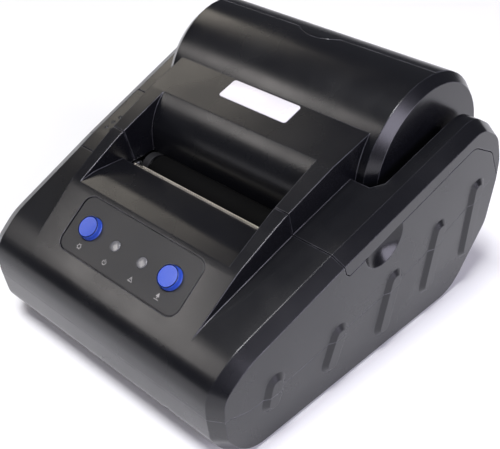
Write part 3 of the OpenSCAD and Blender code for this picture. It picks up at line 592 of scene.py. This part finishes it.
def trim(piece: bpy.types.Object, tool: bpy.types.Object, operation: str = "DIFFERENCE") -> None:
    """Cuts a tool out of a piece, or joins it, with an applied Boolean modifier."""
    hold(piece)
    cut = piece.modifiers.new("cut", "BOOLEAN")
    cut.operation = operation
    cut.solver = "EXACT"
    cut.object = tool
    bpy.ops.object.modifier_apply(modifier=cut.name)
    bpy.data.objects.remove(tool)


def join(first: bpy.types.Object, *others: bpy.types.Object) -> bpy.types.Object:
    """Joins pieces into the first one."""
    hold(first)
    for each in others:
        each.select_set(True)
    bpy.ops.object.join()
    return first


def twin(piece: bpy.types.Object, shift: Point) -> bpy.types.Object:
    """A copy with its own mesh, moved by a step."""
    copy = piece.copy()
    copy.data = piece.data.copy()
    bpy.context.scene.collection.objects.link(copy)
    copy.data.transform(Matrix.Translation(shift))
    return copy


def mirrored(piece: bpy.types.Object) -> bpy.types.Object:
    """A copy mirrored in x, with its faces turned outwards again."""
    copy = twin(piece, (0, 0, 0))
    copy.data.transform(Matrix.Scale(-1, 4, (1, 0, 0)))
    copy.data.flip_normals()
    return copy


def coil(radius: float, wire: float, turns: float, height: float, start: Point,
         axis: Axis = Axis.Z) -> bpy.types.Object:
    """A helical spring made by an applied Screw modifier.

    Args:
        radius: From the axis to the middle of the wire.
        wire: Radius of the wire.
        turns: Number of turns.
        height: Distance between the middles of its end turns.
        start: Where its axis starts.
        axis: Direction of its axis.

    Returns:
        The spring.
    """
    clear_selection()
    bpy.ops.mesh.primitive_circle_add(
        vertices=8, radius=wire, location=(radius, 0, 0), rotation=(math.pi / 2, 0, 0))
    bpy.ops.object.transform_apply(location=True, rotation=True, scale=True)
    piece = bpy.context.object
    screw = piece.modifiers.new("winding", "SCREW")
    screw.angle = math.radians(360 * turns)
    screw.screw_offset = height
    screw.steps = screw.render_steps = round(24 * turns)
    screw.use_merge_vertices = False
    bpy.ops.object.modifier_apply(modifier=screw.name)
    bpy.ops.object.mode_set(mode="EDIT")
    bpy.ops.mesh.select_all(action="SELECT")
    bpy.ops.mesh.remove_doubles(threshold=wire * 0.02)
    bpy.ops.mesh.fill_holes(sides=0)
    bpy.ops.mesh.normals_make_consistent(inside=False)
    done()
    piece.matrix_world = Matrix.Translation(start) @ axis.value
    bpy.ops.object.transform_apply(location=True, rotation=True, scale=True)
    return piece


@dataclass
class Bench:
    """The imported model, its finishes, and what every sub-assembly needs to place a piece."""

    nodes: dict[str, bpy.types.Object]
    finishes: dict[str, bpy.types.Material]
    count: int = 0

    def settle(self, piece: bpy.types.Object, name: str, body: Body, slot: str, replaces: Sequence[str] = (),
               place: Matrix = BENCH, smooth: float = 35.0) -> bpy.types.Object:
        """Gives a piece its place, finish and body.

        Args:
            piece: The modelled piece, in millimetres.
            name: Its name.
            body: The body it rides on.
            slot: Its material slot.
            replaces: CAD nodes it stands for.
            place: Takes its millimetres to the frame.
            smooth: Angle under which edges are shaded smooth, in degrees.

        Returns:
            The piece.
        """
        hold(piece)
        piece.matrix_world = place @ piece.matrix_world
        bpy.ops.object.transform_apply(location=True, rotation=True, scale=True)
        bpy.ops.object.shade_smooth_by_angle(angle=math.radians(smooth))
        piece.name = piece.data.name = name
        piece.data.materials.clear()
        piece.data.materials.append(self.finishes[slot])
        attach(piece, body.value)
        if replaces:
            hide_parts(*replaces)
        self.count += 1
        LOG.info("%s rides on %s", name, body.value)
        return piece

    def copy_node(self, node: str) -> bpy.types.Object:
        """A merged copy of a CAD node's mesh, in metres, for further shaping."""
        source = self.nodes[node]
        copy = bpy.data.objects.new(f"{node}_copy", source.data.copy())
        bpy.context.scene.collection.objects.link(copy)
        hold(copy)
        bpy.ops.mesh.customdata_custom_splitnormals_clear()
        bpy.ops.object.mode_set(mode="EDIT")
        bpy.ops.mesh.select_all(action="SELECT")
        bpy.ops.mesh.remove_doubles(threshold=0.000002)
        bpy.ops.mesh.dissolve_limited(angle_limit=math.radians(0.3))
        done()
        return copy

    def dress_node(self, node: str, slot: str) -> None:
        """Gives a CAD node that keeps its own shape its finish."""
        piece = self.nodes[node]
        piece.data.materials.clear()
        piece.data.materials.append(self.finishes[slot])
        LOG.info("%s keeps its shape", node)


# Sub-assemblies


@dataclass
class Shells:
    """Outer shells: tray, front shell, lid, rear drum panel and release button."""

    bench: Bench
    parts: tuple[tuple[str, str, Body], ...] = (
        ("lower_case", "case_tray", Body.CASE),
        ("upper_case", "front_shell", Body.CASE),
        ("lid_shell", "lid_cover", Body.LID),
        ("drum_panel", "rear_drum_cover", Body.LID),
        ("release_button", "release_key", Body.RELEASE),
    )

    def build(self) -> None:
        """Makes a merged copy of each shell and dresses it."""
        for node, name, body in self.parts:
            shell = self.bench.copy_node(node)
            self.bench.settle(shell, name, body, "case_black", (node,), UNTURNED, FLAT_SMOOTH)


@dataclass
class KeyPanel:
    """Control plate with its marks, the two keys and the two light windows, in panel coordinates."""

    bench: Bench
    plate_half: tuple[float, float] = (28.42, 10.32)
    plate_s: float = 23.5
    plate_corner: float = 3.7
    plate_low: float = -1.0
    plate_top: float = -0.28
    key_x: float = 19.3
    key_s: float = 23.8
    key_r: float = 4.0
    flange_r: float = 4.2
    hole_r: float = 4.4
    light_x: float = 6.5
    light_s: float = 23.1
    light_r: float = 1.98
    mark_s: float = 16.6
    ink: float = 0.03
    hollow_area: float = 30.0

    def build(self) -> None:
        """Builds the plate, its marks, the keys and the windows."""
        self._plate()
        self._marks()
        self._key(-self.key_x, "set_key_cap", Body.SET_KEY, "set_button")
        self._key(self.key_x, "feed_key_cap", Body.FEED_KEY, "feed_button")
        self._window(-self.light_x, "power_window", "power_light")
        self._window(self.light_x, "error_window", "error_light")

    def _plate(self) -> None:
        """Cuts the plate with its four holes."""
        w, l = self.plate_half
        plate = block((-w, self.plate_s - l, self.plate_low), (w, self.plate_s + l, self.plate_top))
        round_corners(plate, self.plate_corner)
        for side in (-1, 1):
            trim(plate, drum(self.hole_r, (side * self.key_x, self.key_s, -3), 6))
            trim(plate, drum(self.light_r + 0.04, (side * self.light_x, self.light_s, -3), 6))
        soften(plate, 0.12)
        self.bench.settle(plate, "key_plate", Body.CASE, "plate_grey", ("control_plate",), PANEL, FLAT_SMOOTH)

    def _marks(self) -> None:
        """Prints a plain sign under each key and window: setting, power, fault and feed."""
        low = self.plate_top
        x = -self.key_x - 0.3
        dial = flat_ring(0.85, 0.55, (x, self.mark_s, low), self.ink)
        for turn in range(6):
            angle = math.radians(60 * turn)
            cx, cy = x + 0.95 * math.cos(angle), self.mark_s + 0.95 * math.sin(angle)
            join(dial, drum(0.19, (cx, cy, low), self.ink, sides=4))
        gap_x = -self.light_x - 0.2
        power = flat_ring(0.9, 0.62, (gap_x, self.mark_s, low), self.ink)
        trim(power, block((gap_x - 0.32, self.mark_s + 0.3, low - 1),
                          (gap_x + 0.32, self.mark_s + 2, low + 1)))
        join(power, block((gap_x - 0.13, self.mark_s, low),
                          (gap_x + 0.13, self.mark_s + 1.1, low + self.ink)))
        x = self.light_x - 0.2
        fault = self._triangle(x, self.mark_s - 0.15, 1.25, 0.24)
        join(fault, block((x - 0.11, self.mark_s - 0.25, low), (x + 0.11, self.mark_s + 0.4, low + self.ink)),
             block((x - 0.11, self.mark_s - 0.58, low), (x + 0.11, self.mark_s - 0.38, low + self.ink)))
        x = self.key_x - 0.5
        feed = self._triangle(x, self.mark_s + 0.5, 0.95, 0.0)
        join(feed, block((x - 0.2, self.mark_s - 0.55, low), (x + 0.2, self.mark_s + 0.1, low + self.ink)),
             block((x - 1.0, self.mark_s - 1.05, low), (x + 1.0, self.mark_s - 0.8, low + self.ink)))
        for piece, name in ((dial, "mark_setting"), (power, "mark_power"),
                            (fault, "mark_fault"), (feed, "mark_feed")):
            self.bench.settle(piece, name, Body.CASE, "window_grey", (), PANEL)

    def _triangle(self, x: float, s: float, radius: float, line: float) -> bpy.types.Object:
        """A flat triangle that points up the slope, filled or as a line of the given width."""
        clear_selection()
        bpy.ops.mesh.primitive_cylinder_add(vertices=3, radius=radius, depth=self.ink)
        sign = bpy.context.object
        sign.data.transform(Matrix.Translation((x, s, self.plate_top + self.ink / 2)))
        if line:
            pick_faces(sign, lambda f: abs(f.normal.z) > FACING)
            bpy.ops.mesh.inset(thickness=line, use_even_offset=True)
            bpy.ops.mesh.bridge_edge_loops()
            done()
        return sign

    def _key(self, x: float, name: str, body: Body, node: str) -> None:
        """Shapes a key: a flange ring, a slightly hollow cap and a stem."""
        key = drum(self.flange_r, (x, self.key_s, -2.9), 2.7, sides=64)
        raise_inner(key, faces_up, self.flange_r - self.key_r, 1.95)
        soften(key, 0.16, 3)
        step_in(key, self._is_top, 0.35, -0.06)
        step_in(key, lambda f: self._is_top(f) and f.calc_area() > self.hollow_area, 1.2, -0.08)
        join(key, drum(2.2, (x, self.key_s, -3.8), 1.4))
        self.bench.settle(key, name, body, "key_blue", (node,), PANEL)

    @staticmethod
    def _is_top(face: object) -> bool:
        """True for a face on top of a key's cap."""
        return faces_up(face) and face.calc_center_median().z > 1.5

    def _window(self, x: float, name: str, node: str) -> None:
        """Shapes a light window with a rounded rim."""
        window = drum(self.light_r, (x, self.light_s, -2.6), 2.45, sides=40)
        soften(window, 0.2, 3)
        self.bench.settle(window, name, Body.CASE, "window_grey", (node,), PANEL)


@dataclass
class Badge:
    """Blank label on the band, in band coordinates."""

    bench: Bench
    half: tuple[float, float] = (15.5, 4.8)
    low: float = -0.4
    top: float = 0.2

    def build(self) -> None:
        """Builds the label with rounded corners and rim."""
        w, l = self.half
        label = block((-w, -l, self.low), (w, l, self.top))
        round_corners(label, 1.2)
        soften(label, 0.12)
        self.bench.settle(label, "band_label", Body.LID, "label_white", ("label_badge",), BAND)


@dataclass
class Screws:
    """Screws with a cross recess. The heads of one kind are copies of one model."""

    bench: Bench
    recess: float = 0.55
    case_seat: float = 1.6
    case_spots: tuple[Spot, ...] = ((49, 17), (-49, 17), (61.6, 112), (-61.6, 112))
    frame_seat: float = 15.5
    frame_spots: tuple[Spot, ...] = ((30, 47.5), (-30, 47.5), (30, 75.5), (-30, 75.5))
    board_spots: tuple[Spot, ...] = ((46, 98.5), (-46, 98.5), (46, 127), (-46, 127))
    key_board_spots: tuple[Spot, ...] = ((27, 23.8), (-27, 23.8))
    key_board_seat: float = -10.0
    ear_x: float = 36.5
    ear_r: float = 12.0
    ear_turns: tuple[float, float] = (40, 220)

    def build(self) -> None:
        """Places the screws of the case, the mechanism, the boards and the motor."""
        down = Matrix.Rotation(math.pi, 4, "X")
        case = [((x, y, self.case_seat), down) for x, y in self.case_spots]
        self._set("case_screws", 2.8, 1.2, 1.5, 28.0, case, BENCH)
        frame = [((x, y, self.frame_seat), UNTURNED) for x, y in self.frame_spots]
        self._set("frame_screws", 2.6, 1.4, 1.5, 7.5, frame, BENCH)
        board = [((x, y, BOARD_TOP), UNTURNED) for x, y in self.board_spots]
        self._set("board_screws", 2.0, 1.2, 1.0, 6.6, board, BENCH)
        under = [((x, s, self.key_board_seat), down) for x, s in self.key_board_spots]
        self._set("key_board_screws", 2.0, 1.2, 1.0, 6.0, under, PANEL, ())
        ears = []
        for turn in self.ear_turns:
            y = MOTOR_Y + self.ear_r * math.cos(math.radians(turn))
            z = MOTOR_Z + self.ear_r * math.sin(math.radians(turn))
            ears.append(((self.ear_x, y, z), Axis.X.value))
        self._set("motor_screws", 1.9, 1.2, 1.0, 2.3, ears, BENCH)

    def _set(self, kind: str, head_r: float, head_h: float, shank_r: float, shank_l: float,
             places: list[tuple[Point, Matrix]], frame: Matrix, nodes: tuple[str, ...] | None = None) -> None:
        """Models one screw and copies it to each place.

        Args:
            kind: Name of the kind, also the CAD node unless nodes are given.
            head_r: Radius of the head.
            head_h: Height of the head.
            shank_r: Radius of the shank.
            shank_l: Length of the shank.
            places: Seat of each head, and the turn that lays the screw along its axis.
            frame: Takes the millimetres to the frame.
            nodes: CAD nodes the set stands for.
        """
        model = drum(head_r, (0, 0, 0), head_h, sides=32)
        soften(model, 0.35, 3)
        reach, half = 0.62 * head_r, 0.14 * head_r
        for x, y in ((reach, half), (half, reach)):
            trim(model, block((-x, -y, head_h - self.recess), (x, y, head_h + 1)))
        shank = drum(shank_r, (0, 0, -shank_l), shank_l + 0.05, sides=20)
        soften(shank, 0.2, 1)
        join(model, shank)
        for index, (seat, turn) in enumerate(places, 1):
            screw = twin(model, (0, 0, 0))
            screw.data.transform(Matrix.Translation(seat) @ turn)
            stands_for = (kind,) if nodes is None else nodes
            self.bench.settle(screw, f"{kind}_{index}", Body.CASE, "steel",
                              stands_for if index == 1 else (), frame)
        bpy.data.objects.remove(model)


@dataclass
class Springs:
    """Head springs, release spring and the torsion spring of the latch."""

    bench: Bench
    shelf_z: float = 44.0
    release_top: float = 56.2
    wire: float = 0.3

    def build(self) -> None:
        """Winds the four springs."""
        for side, name in ((-1, "head_spring_left"), (1, "head_spring_right")):
            spring = coil(2.3, self.wire, 6, 6.0, (side * 20, 43.85, 44), Axis.Y)
            self.bench.settle(spring, name, Body.CASE, "steel", ("head_springs",) if side < 0 else ())
        height = self.release_top - self.shelf_z
        release = coil(2.35, 0.34, 7, height - 0.7, (-53.4, 66, self.shelf_z + 0.35))
        self.bench.settle(release, "release_coil", Body.CASE, "steel", ("release_spring",))
        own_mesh(release)
        latch = coil(2.2, 0.35, 5, 4.2, (-41.25, 66, 30), Axis.X)
        self.bench.settle(latch, "latch_coil", Body.CASE, "steel", ("latch_spring",))


@dataclass
class Feet:
    """Four rubber feet with a hollow sole."""

    bench: Bench
    radius: float = 5.0
    low: float = -1.2
    height: float = 2.2
    spots: tuple[Spot, ...] = ((44, 26), (-44, 26), (52, 104), (-52, 104))

    def build(self) -> None:
        """Moulds one foot and copies it."""
        model = drum(self.radius, (0, 0, self.low), self.height, sides=40)
        raise_inner(model, lambda f: f.normal.z < -FACING, 1.3, -0.4)
        soften(model, 0.25, 2)
        for index, (x, y) in enumerate(self.spots, 1):
            self.bench.settle(twin(model, (x, y, 0)), f"foot_{index}", Body.CASE, "foot_rubber",
                              ("rubber_feet",) if index == 1 else ())
        bpy.data.objects.remove(model)


@dataclass
class Works:
    """Roller, motor, head and tear bar: CAD shapes with rounded edges, and what is added to them."""

    bench: Bench
    rounded: tuple[tuple[str, str, Body, str, float], ...] = (
        ("platen_roller", "roller_sleeve", Body.PLATEN, "roller_rubber", 0.0004),
        ("platen_shaft", "roller_shaft", Body.PLATEN, "steel", 0.0004),
        ("stepper_motor", "motor_can", Body.CASE, "motor_steel", 0.00025),
        ("tear_bar", "serrated_bar", Body.CASE, "bar_steel", 0.00006),
        ("switch_rocker", "rocker_key", Body.ROCKER, "part_black", 0.0003),
        ("power_inlet", "inlet_block", Body.CASE, "part_black", 0.0002),
        ("drawer_port", "drawer_block", Body.CASE, "part_black", 0.0002),
        ("latch_hook", "latch_lever", Body.LATCH, "dark_metal", 0.0002),
        ("paper_sensor", "sensor_block", Body.CASE, "part_black", 0.0003),
    )

    def build(self) -> None:
        """Rounds the copies, then adds the small pieces."""
        for node, name, body, slot, width in self.rounded:
            piece = self.bench.copy_node(node)
            soften(piece, width, 2)
            self.bench.settle(piece, name, body, slot, (node,), UNTURNED)
        self._motor()
        self._head()
        self._sensor()
        self._rocker_marks()

    def _motor(self) -> None:
        """Adds the motor's rear cap and its wire socket."""
        cap = drum(6.5, (16.2, MOTOR_Y, MOTOR_Z), 0.9, Axis.X)
        step_in(cap, lambda f: f.normal.x < -FACING, 1.2, 0.3)
        soften(cap, 0.15)
        self.bench.settle(cap, "motor_cap", Body.CASE, "motor_steel")
        socket = block((19, 76.2, 21.5), (26, 78.7, 30.5))
        step_in(socket, lambda f: f.normal.y > FACING, 0.6, -0.9)
        soften(socket, 0.15)
        self.bench.settle(socket, "motor_socket", Body.CASE, "part_black")

    def _head(self) -> None:
        """Adds the heater line and the covered drivers of the print head."""
        line = block((-28, 54.36, 46.5), (28, 54.5, 47.5))
        soften(line, 0.06)
        self.bench.settle(line, "heater_line", Body.HEAD, "head_ceramic")
        cover = block((-27, 54.3, 42.0), (27, 54.8, 44.0))
        soften(cover, 0.2, 3)
        self.bench.settle(cover, "driver_cover", Body.HEAD, "part_black")

    def _sensor(self) -> None:
        """Adds the two lenses of the paper sensor."""
        for x, name in ((-1.6, "sensor_lens_left"), (1.6, "sensor_lens_right")):
            lens = drum(0.9, (x, 75.2, 34.5), 0.5, Axis.Y, 24)
            soften(lens, 0.2, 3)
            self.bench.settle(lens, name, Body.CASE, "lamp_clear")

    def _rocker_marks(self) -> None:
        """Adds the two plain signs of the power switch, a ring and a bar."""
        seat = Matrix.Translation((-36, 140.9, 33.2))
        for x, y, slope, name in ((3.35, 2.9, -8.5, "mark_off"), (-3.35, 4.1, -11.8, "mark_on")):
            place = seat @ Matrix.Translation((x, y, 0)) @ Matrix.Rotation(math.radians(slope), 4, "Z")
            if name == "mark_off":
                sign = flat_ring(1.2, 0.85, (0, 0, -0.02), 0.06)
            else:
                sign = block((-0.2, -1.3, -0.02), (0.2, 1.3, 0.04))
                soften(sign, 0.015, 1)
            sign.data.transform(place @ Axis.Y.value)
            self.bench.settle(sign, name, Body.ROCKER, "window_grey")


@dataclass
class Electronics:
    """Parts on the boards and in the sockets."""

    bench: Bench
    capacitor_spots: tuple[Spot, ...] = ((38, 104), (38, 113), (-38, 104))
    plug_y: float = 95.2
    contact_pitch: float = 1.28
    data_pitch: float = 1.2

    def build(self) -> None:
        """Places the chips, capacitors, plugs and contacts."""
        self._chip((0, 108), (7.0, 7.0), 10, "main_chip")
        self._chip((-20, 100), (4.0, 5.0), 6, "driver_chip")
        self._chip((20, 101), (4.0, 5.0), 6, "memory_chip")
        self._capacitors()
        self._plugs()
        self._contacts()

    def _chip(self, middle: tuple[float, float], half: tuple[float, float], legs: int, name: str) -> None:
        """Makes a chip with legs on two sides."""
        x, y = middle
        w, l = half
        low = BOARD_TOP + 0.2
        body = block((x - w, y - l, low), (x + w, y + l, low + 1.4))
        soften(body, 0.15, 1)
        self.bench.settle(body, name, Body.CASE, "part_black")
        pitch = 2 * (l - 0.8) / (legs - 1)
        first = self._leg(x + w, y - l + 0.8)
        row = [first] + [twin(first, (0, pitch * i, 0)) for i in range(1, legs)]
        first = join(row[0], *row[1:])
        other = mirrored(first)
        other.data.transform(Matrix.Translation((2 * x, 0, 0)))
        join(first, other)
        self.bench.settle(first, f"{name}_legs", Body.CASE, "port_steel")

    def _leg(self, x: float, y: float) -> bpy.types.Object:
        """One bent leg of a chip."""
        top = BOARD_TOP + 0.9
        leg = block((x - 0.1, y - 0.2, top - 0.1), (x + 0.5, y + 0.2, top + 0.1))
        pick_faces(leg, lambda f: f.normal.x > FACING)
        bpy.ops.mesh.extrude_region_move(TRANSFORM_OT_translate={"value": (0.35, 0, -0.75)})
        bpy.ops.mesh.extrude_region_move(TRANSFORM_OT_translate={"value": (0.6, 0, 0)})
        done()
        return leg

    def _capacitors(self) -> None:
        """Makes one standing capacitor and copies it."""
        model = drum(3.0, (0, 0, BOARD_TOP), 7.0, sides=32)
        raise_inner(model, faces_up, 0.35, -0.2)
        soften(model, 0.2, 2)
        for index, (x, y) in enumerate(self.capacitor_spots, 1):
            self.bench.settle(twin(model, (x, y, 0)), f"capacitor_{index}", Body.CASE, "dark_metal")
        bpy.data.objects.remove(model)

    def _plugs(self) -> None:
        """Makes the plug for the head's ribbon and the one for the motor."""
        for low, high, name in (((-16, self.plug_y, BOARD_TOP), (2, 97.6, 31.5), "ribbon_plug"),
                                ((24, self.plug_y, BOARD_TOP), (33, 98.2, 32.0), "motor_plug")):
            plug = block(low, high)
            step_in(plug, faces_up, 0.5, -1.5)
            soften(plug, 0.12, 1)
            self.bench.settle(plug, name, Body.CASE, "gear_plastic")

    def _contacts(self) -> None:
        """Adds the contacts of the drawer socket and of the data port, and the inlet's sleeve."""
        model = block((-0.18, 133, 30.6), (0.18, 140.6, 30.85))
        pick_faces(model, lambda f: f.normal.y > FACING)
        bpy.ops.mesh.extrude_region_move(TRANSFORM_OT_translate={"value": (0, -0.6, 1.4)})
        done()
        row = [twin(model, (-3.2 + self.contact_pitch * i, 0, 0)) for i in range(6)]
        self.bench.settle(join(row[0], *row[1:]), "drawer_contacts", Body.CASE, "pinion_brass")
        bpy.data.objects.remove(model)
        strip = block((19.9, 133, 33.98), (20.5, 140.4, 34.06))
        soften(strip, 0.02, 1)
        row = [twin(strip, (self.data_pitch * i, 0, 0)) for i in range(4)]
        self.bench.settle(join(row[0], *row[1:]), "data_contacts", Body.CASE, "pinion_brass")
        bpy.data.objects.remove(strip)
        sleeve = drum(3.12, (44, 133.2, 32.6), 8.0, Axis.Y)
        trim(sleeve, drum(2.75, (44, 133, 32.6), 9.5, Axis.Y))
        self.bench.settle(sleeve, "inlet_sleeve", Body.CASE, "port_steel")


@dataclass
class Studio:
    """Pale floor, soft lights and the camera."""

    lens: float = 57.39
    eye: Point = (0.163048, -0.176898, 0.217214)
    right: Point = (0.752079, 0.658972, -0.011536)
    ahead: Point = (-0.524244, 0.587525, -0.616427)
    aim: Point = (0, 0, 0.05)
    world_tone: Colour = (0.86, 0.88, 1.0)
    world_strength: float = 0.1

    def build(self) -> None:
        """Makes the floor, the lights, the world and the camera."""
        self._camera()
        self._floor()
        self._lamp("overhead", (0.0, -0.3, 1.3), self.aim, (0.4, 0.4), 18.0, (0.97, 0.97, 1.0))
        self._lamp("front_left", (-0.75, -0.72, 0.9), self.aim, (0.42, 0.3), 2.2, (1.0, 0.95, 0.92))
        self._lamp("left_fill", (-1.0, 0.42, 1.0), self.aim, (0.5, 0.35), 1.5, (1.0, 0.92, 0.8))
        self._lamp("floor_wash", (1.05, -0.1, 0.5), (0.15, 0.08, 0.0), (1.0, 0.7), 13.0, (0.86, 0.82, 1.0))
        world = bpy.context.scene.world or bpy.data.worlds.new("studio")
        bpy.context.scene.world = world
        world.use_nodes = True
        back = world.node_tree.nodes["Background"]
        back.inputs["Color"].default_value = (*self.world_tone, 1)
        back.inputs["Strength"].default_value = self.world_strength
        bpy.context.scene.view_settings.view_transform = "Standard"

    def _camera(self) -> None:
        """Puts the camera where the photograph was taken from."""
        data = bpy.data.cameras.new("view")
        data.lens = self.lens
        data.sensor_width = 36.0
        data.clip_start = 0.01
        camera = bpy.data.objects.new("view", data)
        bpy.context.scene.collection.objects.link(camera)
        right, ahead = Vector(self.right).normalized(), Vector(self.ahead).normalized()
        up = right.cross(ahead)
        turn = Matrix((right, up, -ahead)).transposed().to_4x4()
        camera.matrix_world = Matrix.Translation(self.eye) @ turn
        bpy.context.scene.camera = camera

    @staticmethod
    def _floor() -> None:
        """Lays a wide pale floor."""
        clear_selection()
        bpy.ops.mesh.primitive_plane_add(size=8, location=(0, 0, 0))
        floor = bpy.context.object
        floor.name = "studio_floor"
        material = bpy.data.materials.new("floor_pale")
        material.use_nodes = True
        shader = material.node_tree.nodes["Principled BSDF"]
        w = Wiring(material.node_tree)
        cloud = w.noise(w.add("ShaderNodeTexCoord").outputs["Object"], 3.0, 3.0)
        w.link(w.spread(cloud, 0.3, 0.7, 0.75, 0.85), shader.inputs["Roughness"])
        shader.inputs["Base Color"].default_value = (0.86, 0.86, 0.86, 1)
        shader.inputs["Specular IOR Level"].default_value = 0.1
        floor.data.materials.append(material)

    @staticmethod
    def _lamp(name: str, place: Point, aim: Point, size: tuple[float, float], power: float,
              colour: Colour) -> None:
        """Adds a soft rectangular lamp.

        Args:
            name: Its name.
            place: Where it stands.
            aim: The point it looks at.
            size: Its width and height.
            power: Its power in watts.
            colour: Its colour.
        """
        data = bpy.data.lights.new(name, "AREA")
        data.shape = "RECTANGLE"
        data.size, data.size_y = size
        data.energy = power
        data.color = colour
        lamp = bpy.data.objects.new(name, data)
        bpy.context.scene.collection.objects.link(lamp)
        turn = (Vector(aim) - Vector(place)).to_track_quat("-Z", "Y").to_matrix().to_4x4()
        lamp.matrix_world = Matrix.Translation(place) @ turn


def main() -> None:
    """Builds the scene in order."""
    logging.basicConfig(level=logging.INFO, format="%(message)s")
    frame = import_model()
    effects = Effects()
    finishes = {finish.slot: finish.build(effects) for finish in FINISHES}
    bench = Bench(frame["nodes"], finishes)
    for part in frame["record"]["subparts"]:
        bench.dress_node(part["node"], part["material_slot"])
    for assembly in (Shells, KeyPanel, Badge, Works, Springs, Screws, Feet, Electronics):
        assembly(bench).build()
    Studio().build()
    LOG.info("%d pieces", bench.count)


if __name__ == "__main__":
    main()
